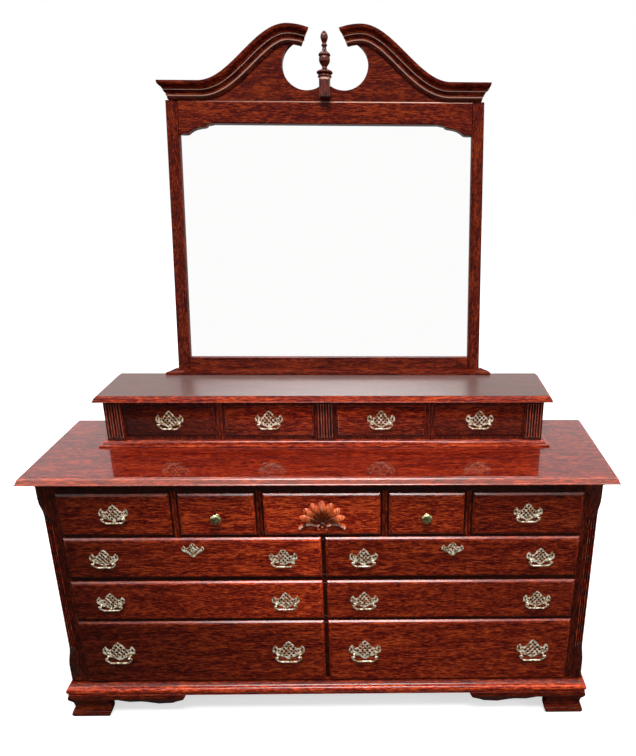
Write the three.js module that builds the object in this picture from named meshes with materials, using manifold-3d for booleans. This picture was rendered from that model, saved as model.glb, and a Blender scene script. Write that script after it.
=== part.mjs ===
// A dresser with a mirror, in dark red cherry with brass pulls. A case with four rows of lipped drawers
// stands on ogee bracket feet, a gallery of four small drawers stands at the back of its top, and a
// mirror leans back over the gallery under a swan-neck pediment with a turned finial.
// Millimetres, +Z up, the front faces -Y. The origin is on the floor under the middle of the outline.

import * as THREE from "three";
import { mergeVertices } from "three/addons/utils/BufferGeometryUtils.js";
import Module from "manifold-3d";

const wasm = await Module();
wasm.setup();

// Fits that the whole dresser shares
const gap = 0.3; // air between pieces that are cut to each other
const play = 1; // play of a drawer beside and over its box
const overrun = 5; // how far a cutter passes the wood that it cuts
const lap = 8; // how far a drawer lip covers the frame around it
const embed = 1; // how far a brass plate is let into the wood under it

// The case, measured from the front edge of the top surface, where y is zero
const caseHalf = 818;
const caseFront = 24;
const caseBack = 430;
const boardThickness = 18;
const backThickness = 10;
const stileDepth = 48;
const footHeight = 88;
const plinthHeight = 45;
const plinthReveal = 2; // frame left bare between the plinth and the lowest drawers
const friezeHeight = 24;
const bedHeight = 18;
const topThickness = 22;
const topOverhang = 22; // before its moulded edge
const topHalf = caseHalf + topOverhang;

// Rows of drawers from the floor up: lip heights, and the bare rails between the lips
const rowFourHeight = 230;
const rowThreeHeight = 138;
const rowTwoHeight = 138;
const rowOneHeight = 137;
const railFourThree = 8;
const railThreeTwo = 13;
const railTwoOne = 9;

// Lips across the front, from the middle out
const cornerBare = 53; // corner post left bare beside the lips
const wideInner = 6;
const drawerHalf = caseHalf - cornerBare;
const shellHalf = 170.5;
const stileBare = 25; // bare upright between two lips of the top row
const narrowWidth = 220.5;

// Drawers
const lip = { proud: 8, edge: 2, bevel: 10 };
const galleryLip = { proud: 6, edge: 2, bevel: 7 };
const frontThickness = 14; // the part of a front that goes into the case
const drawerWall = 12;
const drawerFloor = 7;
const sideDrop = 14; // the sides stop this far under the top of the front
const drawerClear = 18; // space behind a closed drawer

// Frames under the rows of drawers: a front rail, a back rail and runners over a thin panel
const frameRail = 60;
const frameBackRail = 50;
const frameRunner = 46;
const framePanel = 6;

// Canted and fluted front corners, square again at both ends
const cantAcross = 30;
const cantDeep = 20;
const squareFoot = 67;
const squareHead = 60;
const tongueFoot = 50;
const tongueHead = 68;
const fluteRadius = 3.6;
const flutePitch = 10.4;
const fluteSink = 2.4;
const fluteInset = 4; // from the end of a lamb's tongue to the end of a flute

// The gallery on the back of the top
const galleryHalf = 672;
const galleryFront = 228;
const galleryBaseHeight = 16;
const galleryRailLow = 13;
const galleryRowHeight = 102;
const galleryRailHigh = 16;
const galleryTopThickness = 20;
const galleryOverhang = 7; // at the sides, before the moulded edge
const galleryTopHalf = galleryHalf + galleryOverhang;
const galleryTopFront = 214;
const galleryInner = 35;
const galleryDivider = 30;
const galleryEnd = 59; // frame beside the end lips
const galleryLipWidth = (galleryHalf - galleryEnd - galleryInner - galleryDivider) / 2;
const galleryLap = 6;
const galleryBackThickness = 12;
const pilasterProud = 6;
const pilasterReveal = 4; // frame left bare between a pilaster and a lip
const pilasterFluteRadius = 5;
const pilasterPitch = 16.5;
const pilasterFluteSink = 3;

// The mirror. Its own heights run up the lean, from the top of the gallery
const mirrorLean = 11; // degrees
const mirrorPlane = 436; // y of the frame's face at the gallery top
const frameHalf = 495;
const frameThickness = 25;
const stileWidth = 37.5;
const beadWidth = 8.5;
const rebate = 8;
const frontOfGlass = 17;
const glassThickness = 4;
const sillHeight = 14;
const sillProud = 28;
const sillSlope = 19; // how far the sill's moulding draws in from bottom to top
const sillSide = 35;
const bottomRailTop = 52;
const topRailEdge = 782;
const bracketDrop = 32;
const bracketRun = 107;
const frameTop = 849;
const glassLap = 18; // glass behind the straight part of the top rail

// The pediment over the frame
const boardInset = 13; // from the end of the frame to the end of the pediment board
const boardHalf = frameHalf - boardInset;
const crownHeight = 51;
const crownProud = 30;
const crownFlat = 94; // level crown between the end of the board and the swan neck
const swanStart = boardHalf - crownFlat;
const swanCrest = 112;
const swanRise = 164;
const swanTip = 57;
const tipSlantShare = 0.4; // how far the cut end of the crown leans out with each member
const tipEaseShare = 0.72; // how slowly the scroll falls behind the crest
const scrollRise = 107; // from the frame to the middle of a scroll's opening
const scrollCentre = { x: 58, h: frameTop + scrollRise };
const scrollRadius = 75;
const throatHalf = 64;
const finialPlinthHalf = 16.5;
const finialReveal = 4; // board left bare under the finial's plinth
const finialPlinthFoot = frameTop + finialReveal;
const finialPlinthHeight = 53;
const finialHeight = 144;
const finialRadius = 23.6;

// Battens that carry the mirror on the backs of the case and the gallery
const battenHalf = 35;
const battenPlace = 300;
const battenThickness = 20;
const battenFoot = 560;
const battenHead = 560;

// Brass: pulls for the small and the large drawers, knobs and escutcheons
// (low: how far the posts stand under the middle of the plate, drop: how far the bar hangs under them)
const smallPull = { width: 85, height: 66, boring: 57, low: 8, reach: 12, drop: 18, wire: 2.6, head: 4 };
const largePull = { width: 101, height: 80, boring: 68, low: 12, reach: 14, drop: 24, wire: 2.9, head: 4.8 };
const plateThickness = 2.2;
const pinRadius = 1.6;
const pinPlay = 0.5;
const knobRadius = 16.75;
const knobReach = 30;
const escutcheonWidth = 66;
const escutcheonHeight = 47;
const pullInset = 114; // from the end of a wide lip to the middle of its pull
const escutcheonRise = 30.5;
const knobDrop = 4;
const rowOnePullRise = 4; // pulls sit a little off the middle of some rows
const rowThreePullRise = -2;
const rowFourPullRise = 2;
const galleryPullRise = 2;

// The carved shell on the middle drawer of the top row
const shellWidth = 137;
const shellHeight = 95;
const shellRelief = 9;
const shellLobes = 7;

// Heights that follow
const plinthTop = footHeight + plinthHeight;
const rowFour = { low: plinthTop + plinthReveal, height: rowFourHeight };
const rowThree = { low: rowFour.low + rowFourHeight + railFourThree, height: rowThreeHeight };
const rowTwo = { low: rowThree.low + rowThreeHeight + railThreeTwo, height: rowTwoHeight };
const rowOne = { low: rowTwo.low + rowTwoHeight + railTwoOne, height: rowOneHeight };
const bedFoot = rowOne.low + rowOneHeight + friezeHeight;
const caseHead = bedFoot + bedHeight;
const caseTopHeight = caseHead + topThickness;
const galleryFloor = caseTopHeight + galleryBaseHeight;
const galleryRow = { low: galleryFloor + galleryRailLow, height: galleryRowHeight };
const galleryHead = galleryRow.low + galleryRowHeight + galleryRailHigh;
const galleryTopHeight = galleryHead + galleryTopThickness;
const bottomBoardTop = footHeight + boardThickness;
const drawerDepth = caseBack - backThickness - drawerClear - caseFront;
const galleryDepth = caseBack - galleryBackThickness - drawerClear / 2 - galleryFront;
const opening = frameHalf - stileWidth;

// Turning geometry into solids and back

function solid(geometry) {
  geometry.deleteAttribute("normal");
  geometry.deleteAttribute("uv");
  const merged = mergeVertices(geometry);
  const triangles = [];
  const index = merged.index.array;
  for (let i = 0; i < index.length; i += 3) {
    const [a, b, c] = [index[i], index[i + 1], index[i + 2]];
    if (a !== b && b !== c && c !== a) triangles.push(a, b, c);
  }
  return new wasm.Manifold(new wasm.Mesh({
    numProp: 3,
    vertProperties: merged.attributes.position.array,
    triVerts: Uint32Array.from(triangles),
  }));
}

function geometryOf(body) {
  const mesh = body.getMesh();
  const geometry = new THREE.BufferGeometry();
  geometry.setAttribute("position", new THREE.BufferAttribute(mesh.vertProperties, 3));
  geometry.setIndex(new THREE.BufferAttribute(mesh.triVerts, 1));
  geometry.computeVertexNormals();
  return geometry;
}

function mirrored(geometry) {
  geometry.scale(-1, 1, 1);
  const index = geometry.index.array;
  for (let i = 0; i < index.length; i += 3) [index[i], index[i + 1]] = [index[i + 1], index[i]];
  geometry.computeVertexNormals();
  return geometry;
}

function joined(bodies) {
  return bodies.reduce((sum, body) => sum.add(body));
}

function cut(body, cutters) {
  return cutters.reduce((rest, cutter) => rest.subtract(cutter), body);
}

// A board between two opposite corners
function board(low, high) {
  const size = high.map((value, i) => value - low[i]);
  const middle = high.map((value, i) => (value + low[i]) / 2);
  return solid(new THREE.BoxGeometry(...size).translate(...middle));
}

function outline(points) {
  return new THREE.Shape(points.map(([a, b]) => new THREE.Vector2(a, b)));
}

// An outline seen from above, standing between two heights
function standing(points, low, high) {
  const geometry = new THREE.ExtrudeGeometry(outline(points), { depth: high - low, bevelEnabled: false });
  return solid(geometry.translate(0, 0, low));
}

// A shape drawn on the front, x across and z up, running from the back y to the front y
function facing(shape, front, back, curveSegments = 4) {
  const settings = { depth: back - front, bevelEnabled: false, curveSegments };
  const geometry = new THREE.ExtrudeGeometry(shape, settings);
  return solid(geometry.rotateX(Math.PI / 2).translate(0, back, 0));
}

// A shape drawn on the side, y across and z up, running from one x to another
function sideways(shape, left, right, curveSegments = 4) {
  const settings = { depth: right - left, bevelEnabled: false, curveSegments };
  const geometry = new THREE.ExtrudeGeometry(shape, settings);
  const turn = new THREE.Matrix4().makeBasis(
    new THREE.Vector3(0, 1, 0),
    new THREE.Vector3(0, 0, 1),
    new THREE.Vector3(1, 0, 0),
  );
  return solid(geometry.applyMatrix4(turn).translate(left, 0, 0));
}

// A skin over rings of equally many points, closed by a cap at each end
function lofted(rings, caps) {
  const count = rings[0].length;
  const positions = rings.flat(2);
  const index = [];
  for (let ring = 0; ring + 1 < rings.length; ring += 1) {
    for (let i = 0; i < count; i += 1) {
      const a = ring * count + i;
      const b = ring * count + ((i + 1) % count);
      index.push(a, b, b + count, a, b + count, a + count);
    }
  }
  const last = (rings.length - 1) * count;
  for (const [a, b, c] of caps) index.push(c, b, a, a + last, b + last, c + last);
  const geometry = new THREE.BufferGeometry();
  geometry.setAttribute("position", new THREE.Float32BufferAttribute(positions, 3));
  geometry.setIndex(index);
  return solid(geometry);
}

const squareCaps = [[0, 1, 2], [0, 2, 3]];

// Boards with a moulded edge are stacks of rectangles, each { half, front, back, z }, from the bottom up
function moulded(levels) {
  const rings = levels.map(({ half, front, back, z }) => [
    [-half, front, z],
    [half, front, z],
    [half, back, z],
    [-half, back, z],
  ]);
  return lofted(rings, squareCaps);
}

// Half a ripple: nothing at 0, all at 1, level at both ends
function ripple(share) {
  return (1 - Math.cos(Math.PI * share)) / 2;
}

// Materials

function cherry() {
  return new THREE.MeshStandardMaterial({ color: 0x4a1410, roughness: 0.25, metalness: 0 });
}

function plainWood() {
  return new THREE.MeshStandardMaterial({ color: 0x6e4a30, roughness: 0.7, metalness: 0 });
}

function brass() {
  return new THREE.MeshStandardMaterial({ color: 0xd9c07a, roughness: 0.25, metalness: 1 });
}

function silvering() {
  return new THREE.MeshStandardMaterial({ color: 0xe6eaec, roughness: 0.03, metalness: 1 });
}

function piece(name, geometry, material) {
  const mesh = new THREE.Mesh(geometry, material);
  mesh.name = name;
  return mesh;
}

// Case: sides with their fluted corner posts

// The cant is cut away from the square corner, and runs out through a lamb's tongue at both ends
function cantCutter(low, high) {
  const faceLength = Math.hypot(cantAcross, cantDeep);
  const depth = (cantAcross * cantDeep) / faceLength;
  const steps = 4;
  const points = [[-overrun, low], [0, low]];
  for (let i = 1; i <= steps; i += 1) {
    points.push([depth * ripple(i / steps), low + (tongueFoot * i) / steps]);
  }
  for (let i = steps; i > 0; i -= 1) {
    points.push([depth * ripple(i / steps), high - (tongueHead * i) / steps]);
  }
  points.push([0, high], [-overrun, high]);
  const width = 2 * faceLength;
  const geometry = new THREE.ExtrudeGeometry(outline(points), { depth: width, bevelEnabled: false });
  const along = new THREE.Vector3(cantAcross, cantDeep, 0).normalize();
  const inward = new THREE.Vector3(-along.y, along.x, 0);
  geometry.translate(0, 0, -width / 2);
  geometry.applyMatrix4(new THREE.Matrix4().makeBasis(inward, new THREE.Vector3(0, 0, 1), along));
  return solid(geometry.translate(caseHalf, caseFront, 0));
}

// A round-ended groove, standing at x and y
function flute(x, y, radius, low, high) {
  const geometry = new THREE.CapsuleGeometry(radius, high - low - 2 * radius, 2, 8);
  return solid(geometry.rotateX(Math.PI / 2).translate(x, y, (low + high) / 2));
}

function cantFlutes(low, high) {
  const along = new THREE.Vector2(cantAcross, cantDeep).normalize();
  const out = new THREE.Vector2(along.y, -along.x);
  const middle = new THREE.Vector2(caseHalf - cantAcross / 2, caseFront + cantDeep / 2);
  return [-1, 0, 1].map((place) => {
    const centre = middle.clone().addScaledVector(along, place * flutePitch);
    centre.addScaledVector(out, fluteRadius - fluteSink);
    return flute(centre.x, centre.y, fluteRadius, low, high);
  });
}

function caseSide() {
  const inner = caseHalf - boardThickness;
  const stileInner = drawerHalf - lap;
  const stileBack = caseFront + stileDepth;
  const plan = [
    [stileInner, caseFront],
    [caseHalf, caseFront],
    [caseHalf, caseBack],
    [inner, caseBack],
    [inner, stileBack],
    [stileInner, stileBack],
  ];
  const cantLow = plinthTop + squareFoot;
  const cantHigh = caseHead - squareHead;
  const fluteLow = cantLow + tongueFoot + fluteInset;
  const fluteHigh = cantHigh - tongueHead - fluteInset;
  const cutters = [cantCutter(cantLow, cantHigh), ...cantFlutes(fluteLow, fluteHigh)];
  return geometryOf(cut(standing(plan, bottomBoardTop, caseHead), cutters));
}

function caseSides() {
  return [
    piece("case_side_right", caseSide(), cherry()),
    piece("case_side_left", mirrored(caseSide()), cherry()),
  ];
}

function caseBackPanel() {
  const half = caseHalf - boardThickness - gap;
  return board([-half, caseBack - backThickness, bottomBoardTop], [half, caseBack, caseHead]);
}

// Case: plinth with the bottom board and the bottom frame. The profile is how far it stands out from the case
function casePlinth() {
  const profileShares = [
    [0, 0.83], [0.11, 0.83], [0.13, 0.72], [0.2, 0.86], [0.31, 1], [0.44, 1], [0.55, 0.9], [0.6, 0.78],
    [0.66, 0.76], [0.68, 0.62], [0.74, 0.42], [0.85, 0.23], [1, 0.14],
  ];
  const reach = 18;
  const stack = moulded(profileShares.map(([rise, out]) => ({
    half: caseHalf + out * reach,
    front: caseFront - out * reach,
    back: caseBack,
    z: footHeight + rise * plinthHeight,
  })));
  const half = caseHalf + gap;
  const pocket = board(
    [-half, caseFront - gap, bottomBoardTop],
    [half, caseBack + overrun, plinthTop + overrun],
  );
  return stack.subtract(pocket).add(dustFrame(bottomBoardTop - embed, rowFour.low + lap));
}

// Case: frames between the rows, each a rail in front, one at the back and runners at the sides and middle,
// with thin panels let in flush under them

function dustFrame(low, high) {
  const half = drawerHalf - lap - gap;
  const back = caseBack - backThickness;
  const panelFront = caseFront + frameRail;
  const panelBack = back - frameBackRail;
  const body = board([-half, caseFront, low], [half, back, high]);
  const wells = [-1, 1].map((side) => {
    const from = side < 0 ? frameRunner - half : frameRunner;
    const to = side < 0 ? -frameRunner : half - frameRunner;
    return board([from, panelFront, low + framePanel], [to, panelBack, high + overrun]);
  });
  return cut(body, wells);
}

// The upright between the wide drawers is halved over the two rails that it crosses
const dividerHalf = wideInner + lap;
const crossing = (caseFront + caseBack) / 2;

function crossRail(lower, upper) {
  const low = lower.low + lower.height - lap;
  const high = upper.low + lap;
  const half = dividerHalf + gap;
  const slot = board([-half, crossing - gap, low - overrun], [half, caseBack, high + overrun]);
  return dustFrame(low, high).subtract(slot);
}

function centreDivider() {
  const low = rowFour.low + lap;
  const high = rowTwo.low + rowTwoHeight - lap;
  const back = caseBack - backThickness;
  const body = board([-dividerHalf, caseFront, low], [dividerHalf, back, high]);
  const slots = [[rowFour, rowThree], [rowThree, rowTwo]].map(([lower, upper]) => board(
    [-dividerHalf - overrun, caseFront - overrun, lower.low + lower.height - lap - gap],
    [dividerHalf + overrun, crossing, upper.low + lap + gap],
  ));
  return cut(body, slots);
}

// The rail over the top row and the four uprights that hang from it
function topRowFrame() {
  const half = drawerHalf - lap - gap;
  const back = caseBack - backThickness;
  const low = rowOne.low + lap;
  const railLow = rowOne.low + rowOneHeight - lap;
  const rail = board([-half, caseFront, railLow], [half, back, caseHead]);
  const uprightHalf = stileBare / 2 + lap;
  const places = [shellHalf + stileBare / 2, shellHalf + 1.5 * stileBare + narrowWidth];
  const uprights = places.flatMap((place) => [-place, place]).map((place) => board(
    [place - uprightHalf, caseFront, low],
    [place + uprightHalf, back, railLow + embed],
  ));
  return joined([rail, ...uprights]);
}

// Case top: an ogee edge, with the bed moulding planted under it

function caseTop() {
  const bedReach = 14;
  const bedShares = [[0, 0.15], [0.2, 0.2], [0.55, 0.5], [0.8, 0.9], [0.85, 1], [1, 1]];
  const edgeReach = 16;
  const edgeShares = [
    [0, 0.3], [0.03, 0.75], [0.14, 0.95], [0.27, 1], [0.42, 0.88], [0.46, 0.66], [0.7, 0.38], [0.86, 0.1],
    [1, 0],
  ];
  const bed = bedShares.map(([rise, out]) => ({
    half: caseHalf + out * bedReach,
    front: caseFront - out * bedReach,
    back: caseBack,
    z: bedFoot + rise * bedHeight,
  }));
  const edge = edgeShares.map(([rise, out]) => ({
    half: topHalf + out * edgeReach,
    front: -out * edgeReach,
    back: caseBack,
    z: caseHead + rise * topThickness,
  }));
  const half = caseHalf + gap;
  const pocket = board([-half, caseFront - gap, bedFoot - overrun], [half, caseBack + overrun, caseHead]);
  return moulded([...bed, ...edge]).subtract(pocket);
}

// Feet: ogee faces, cut to a scrolled bracket on the front and on the side

const footReach = 18;
const footBoard = 24;
const frontWing = 361; // from the corner of the case to the end of the front bracket
const sideWing = 160;
const frontPad = 104; // from the corner of the case to the inner corner of the pad
const sidePadShare = 0.5; // of the side wing

// The scrolled edge, from the inner corner of the pad to the end of the wing. Shares of the wing and height
function bracketShape(start, wing, direction, scale) {
  const across = (share) => start - direction * wing * (1 - scale + scale * share);
  const up = (share) => footHeight * share;
  const shape = new THREE.Shape();
  const outer = start + direction * (footReach + overrun);
  shape.moveTo(outer, 0);
  shape.lineTo(across(0), 0);
  shape.quadraticCurveTo(across(0.07), up(0.32), across(0), up(0.65));
  shape.quadraticCurveTo(across(0.05), up(0.98), across(0.27), up(0.62));
  shape.lineTo(across(0.42), up(0.65));
  shape.quadraticCurveTo(across(0.76), up(0.3), across(0.95), up(0.75));
  shape.lineTo(across(1), footHeight);
  shape.lineTo(outer, footHeight);
  return shape;
}

function footStack(back) {
  const profileShares = [
    [0, 0.55], [0.11, 0.83], [0.22, 0.7], [0.41, 0.22], [0.6, 0.36], [0.8, 0.9], [0.88, 1], [1, 0.83],
  ];
  const inner = caseHalf - frontWing - overrun;
  const rings = profileShares.map(([rise, out]) => {
    const right = caseHalf + out * footReach;
    const front = back ? caseBack - sideWing - overrun : caseFront - out * footReach;
    const rear = back ? caseBack : caseFront + sideWing + overrun;
    const z = rise * footHeight;
    return [[inner, front, z], [right, front, z], [right, rear, z], [inner, rear, z]];
  });
  return lofted(rings, squareCaps);
}

function frontFoot() {
  const front = facing(
    bracketShape(caseHalf, frontWing, 1, 1 - frontPad / frontWing),
    caseFront - footReach - overrun,
    caseFront + footBoard,
    3,
  );
  const side = sideways(
    bracketShape(caseFront, sideWing, -1, 1 - sidePadShare),
    caseHalf - footBoard,
    caseHalf + footReach + overrun,
    3,
  );
  return geometryOf(footStack(false).intersect(front.add(side)));
}

function rearFoot() {
  const side = sideways(
    bracketShape(caseBack, sideWing, 1, 1 - sidePadShare),
    caseHalf - footBoard,
    caseHalf + footReach + overrun,
    3,
  );
  const brace = outline([
    [caseHalf + footReach + overrun, 0],
    [caseHalf - sideWing * sidePadShare, 0],
    [caseHalf - sideWing, footHeight],
    [caseHalf + footReach + overrun, footHeight],
  ]);
  const rear = facing(brace, caseBack - footBoard, caseBack + overrun);
  return geometryOf(footStack(true).intersect(side.add(rear)));
}

function feet() {
  return [
    piece("foot_front_right", frontFoot(), cherry()),
    piece("foot_front_left", mirrored(frontFoot()), cherry()),
    piece("foot_rear_right", rearFoot(), cherry()),
    piece("foot_rear_left", mirrored(rearFoot()), cherry()),
  ];
}

// Brass fittings. Each is modelled round its own centre, on a face at y zero

// Half the outline of a bat-wing plate, from the peak round the wing, as shares of half its size. A pull's
// foot is nearly flat, that of an escutcheon is pointed
const wingShares = [
  [0.17, 0.8], [0.34, 0.5], [0.55, 0.25], [0.68, 0.34], [0.85, 0.5], [1, 0.2], [0.97, -0.08],
];
const pullFootShares = [[0.74, -0.28], [0.62, -0.52], [0.36, -0.66], [0, -0.7]];
const keyFootShares = [[0.68, -0.3], [0.44, -0.42], [0.26, -0.74], [0, -1]];
const diamondShares = [[0, 0.5], [-0.3, 0.05], [0.3, 0.05], [0, -0.36]];

function platePoints(width, height, footShares) {
  const at = ([across, up]) => new THREE.Vector2((across * width) / 2, (up * height) / 2);
  const right = [...wingShares, ...footShares];
  const left = right.slice(0, -1).map(([across, up]) => [-across, up]).reverse();
  return [[0, 1], ...right, ...left].map(at).reverse();
}

function plate(pull) {
  const shape = new THREE.Shape(platePoints(pull.width, pull.height, pullFootShares));
  const acrossShare = 0.07;
  const upShare = 0.085;
  const across = acrossShare * pull.width;
  const up = upShare * pull.height;
  for (const [placeAcross, placeUp] of diamondShares) {
    const x = placeAcross * pull.width / 2;
    const z = placeUp * pull.height / 2;
    const corners = [[x - across, z], [x, z + up], [x + across, z], [x, z - up]];
    shape.holes.push(new THREE.Path(corners.map(([a, b]) => new THREE.Vector2(a, b))));
  }
  return facing(shape, -plateThickness, embed);
}

// A post that widens to its head, bored across for the end of the bail
function post(pull, x) {
  const length = pull.reach + pull.head + embed;
  const neckShare = 0.65;
  const shank = new THREE.CylinderGeometry(neckShare * pull.head, pull.head, length, 6);
  shank.translate(x, embed - length / 2, -pull.low);
  const bore = new THREE.CylinderGeometry(pinRadius + pinPlay, pinRadius + pinPlay, 4 * pull.head, 6);
  bore.rotateZ(Math.PI / 2).translate(x, -pull.reach, -pull.low);
  return solid(shank).subtract(solid(bore));
}

function pullMount(pull) {
  return joined([plate(pull), post(pull, -pull.boring / 2), post(pull, pull.boring / 2)]);
}

// The bail hangs from two inturned pins. Its origin is the middle of the line through the pins
function bail(pull) {
  const shoulder = pull.boring / 2 + pull.head + pull.wire + pinPlay;
  const barShare = 0.27;
  const bowShare = 0.5;
  const barHalf = barShare * pull.width;
  const bow = bowShare * pull.wire;
  const kneeShare = 0.3;
  const elbowShares = { across: 0.5, out: 0.6, down: 0.75 };
  const elbow = barHalf + elbowShares.across * (shoulder - barHalf);
  const half = [
    [shoulder, 0, pull.wire],
    [shoulder, 0, -kneeShare * pull.drop],
    [elbow, -elbowShares.out * bow, -elbowShares.down * pull.drop],
    [barHalf, -bow, -pull.drop],
  ].map(([x, y, z]) => new THREE.Vector3(x, y, z));
  const other = half.map(({ x, y, z }) => new THREE.Vector3(-x, y, z)).reverse();
  const slack = 0.25; // how freely the wire rounds its corners
  const path = new THREE.CatmullRomCurve3([...half, ...other], false, "catmullrom", slack);
  const section = new THREE.Shape();
  section.absarc(0, 0, pull.wire, 0, 2 * Math.PI);
  const settings = { steps: 8, curveSegments: 3, extrudePath: path };
  const wire = solid(new THREE.ExtrudeGeometry(section, settings));
  const pinEnd = (pull.boring - pull.head) / 2;
  const pins = [-1, 1].map((side) => {
    const pin = new THREE.CylinderGeometry(pinRadius, pinRadius, shoulder - pinEnd, 6);
    return solid(pin.rotateZ(Math.PI / 2).translate((side * (shoulder + pinEnd)) / 2, 0, 0));
  });
  return geometryOf(joined([wire, ...pins]));
}

function escutcheon() {
  const shape = new THREE.Shape(platePoints(escutcheonWidth, escutcheonHeight, keyFootShares));
  const eyeShare = 0.05;
  const slotShare = 0.2;
  const eye = eyeShare * escutcheonWidth;
  const slot = slotShare * escutcheonHeight;
  const keyhole = [[-eye, 0], [-eye / 2, eye], [eye / 2, eye], [eye, 0], [eye / 2, -slot], [-eye / 2, -slot]];
  shape.holes.push(new THREE.Path(keyhole.map(([a, b]) => new THREE.Vector2(a, b))));
  return facing(shape, -plateThickness, embed);
}

// Turned pieces: a profile of radius and height shares, spun round its axis
function turned(profileShares, radius, height, segments) {
  const points = profileShares.map(([out, up]) => new THREE.Vector2(out * radius, up * height));
  return new THREE.LatheGeometry(points, segments).rotateX(Math.PI / 2);
}

function knob() {
  const profileShares = [
    [0, 0], [0.8, 0], [0.8, 0.1], [0.4, 0.18], [0.36, 0.42], [0.8, 0.55], [1, 0.74], [0.8, 0.92], [0, 1],
  ];
  const geometry = turned(profileShares, knobRadius, knobReach + embed, 12);
  return solid(geometry.rotateX(Math.PI / 2).translate(0, embed, 0));
}

// The shell: lobes that fan out from a small volute, over two scrolled arms
function shell() {
  const lobeShares = { length: 0.72, half: 0.17, shorter: 0.12 };
  const armShares = { half: 0.23, relief: 0.7, high: 0.1, place: 0.27 };
  const voluteShares = { radius: 0.15, relief: 0.7 };
  const rootShare = -0.22;
  const footShare = -0.33;
  const fan = 140; // degrees between the outer lobes
  const armTilt = 14; // degrees
  const root = rootShare * shellHeight;
  const foot = footShare * shellHeight;
  const bodies = [];
  for (let i = 0; i < shellLobes; i += 1) {
    const turn = THREE.MathUtils.degToRad(fan * (i / (shellLobes - 1) - 0.5));
    const shorter = lobeShares.shorter * Math.abs(Math.sin(turn));
    const reach = lobeShares.length * shellHeight * (1 - shorter);
    const lobe = new THREE.SphereGeometry(1, 8, 6);
    lobe.scale(lobeShares.half * shellHeight, shellRelief, reach / 2).translate(0, 0, reach / 2);
    bodies.push(solid(lobe.rotateY(turn).translate(0, 0, root)));
  }
  for (const side of [-1, 1]) {
    const arm = new THREE.SphereGeometry(1, 8, 4);
    const armHigh = armShares.high * shellHeight;
    arm.scale(armShares.half * shellWidth, armShares.relief * shellRelief, armHigh);
    arm.rotateY(side * THREE.MathUtils.degToRad(armTilt));
    bodies.push(solid(arm.translate(side * armShares.place * shellWidth, 0, foot)));
  }
  const volute = new THREE.SphereGeometry(voluteShares.radius * shellHeight, 8, 4);
  bodies.push(solid(volute.scale(1, voluteShares.relief, 1).translate(0, 0, foot)));
  return joined(bodies);
}

// Drawers. The origin is the middle of the lip on the plane of the frame

function placed(body, x, y, z) {
  const geometry = geometryOf(body);
  return solid(geometry.translate(x, y, z));
}

function drawerBody({ width, height, depth, edge, cover, fittings }) {
  const halfWide = width / 2;
  const halfHigh = height / 2;
  const ring = (y, inset, low, high) => [
    [inset - halfWide, y, low - halfHigh],
    [halfWide - inset, y, low - halfHigh],
    [halfWide - inset, y, halfHigh - high],
    [inset - halfWide, y, halfHigh - high],
  ];
  const side = cover + play;
  const front = lofted([
    ring(frontThickness, side, cover + gap, side),
    ring(-gap, side, cover + gap, side),
    ring(-gap, 0, 0, 0),
    ring(-gap - edge.edge, 0, 0, 0),
    ring(-edge.proud, edge.bevel, edge.bevel, edge.bevel),
  ], squareCaps);
  const boxHalf = halfWide - side;
  const floor = cover + gap - halfHigh;
  const rim = halfHigh - side - sideDrop;
  const box = board([-boxHalf, frontThickness - embed, floor], [boxHalf, depth, rim]);
  const inside = board(
    [drawerWall - boxHalf, frontThickness, floor + drawerFloor],
    [boxHalf - drawerWall, depth - drawerWall, rim + overrun],
  );
  const brasses = fittings.map(({ body, x, z }) => placed(body, x, -edge.proud, z));
  return joined([box.subtract(inside), front, ...brasses]);
}

// A drawer with its fittings, and each pull's bail hung on its posts
function drawer({ name, left, right, row, depth, plane, pulls = [], others = [], edge = lip, cover = lap }) {
  const group = new THREE.Group();
  const centre = (left + right) / 2;
  group.position.set(centre, plane, row.low + row.height / 2);
  const fittings = pulls.map(({ pull, x, z }) => ({ body: pullMount(pull), x: x - centre, z }));
  for (const { body, x, z } of others) fittings.push({ body, x: x - centre, z });
  const body = drawerBody({ width: right - left, height: row.height, depth, edge, cover, fittings });
  group.add(piece(name, geometryOf(body), cherry()));
  for (const { name: bailName, pull, x, z } of pulls) {
    const hung = piece(bailName, bail(pull), brass());
    hung.position.set(x - centre, -edge.proud - pull.reach, z - pull.low);
    group.add(hung);
  }
  return group;
}

function topRow() {
  const common = { row: rowOne, depth: drawerDepth, plane: caseFront };
  const narrowInner = shellHalf + stileBare;
  const narrowOuter = narrowInner + narrowWidth;
  const outerInner = narrowOuter + stileBare;
  const narrowMiddle = (narrowInner + narrowOuter) / 2;
  const outerMiddle = (outerInner + drawerHalf) / 2;
  const knobAt = (x) => [{ body: knob(), x, z: -knobDrop }];
  const pullAt = (name, x) => [{ name, pull: smallPull, x, z: rowOnePullRise }];
  return [
    drawer({ ...common, name: "drawer_row1_1", left: -drawerHalf, right: -outerInner,
      pulls: pullAt("bail_row1_1", -outerMiddle) }),
    drawer({ ...common, name: "drawer_row1_2", left: -narrowOuter, right: -narrowInner,
      others: knobAt(-narrowMiddle) }),
    drawer({ ...common, name: "drawer_row1_3", left: -shellHalf, right: shellHalf,
      others: [{ body: shell(), x: 0, z: 0 }] }),
    drawer({ ...common, name: "drawer_row1_4", left: narrowInner, right: narrowOuter,
      others: knobAt(narrowMiddle) }),
    drawer({ ...common, name: "drawer_row1_5", left: outerInner, right: drawerHalf,
      pulls: pullAt("bail_row1_2", outerMiddle) }),
  ];
}

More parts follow.
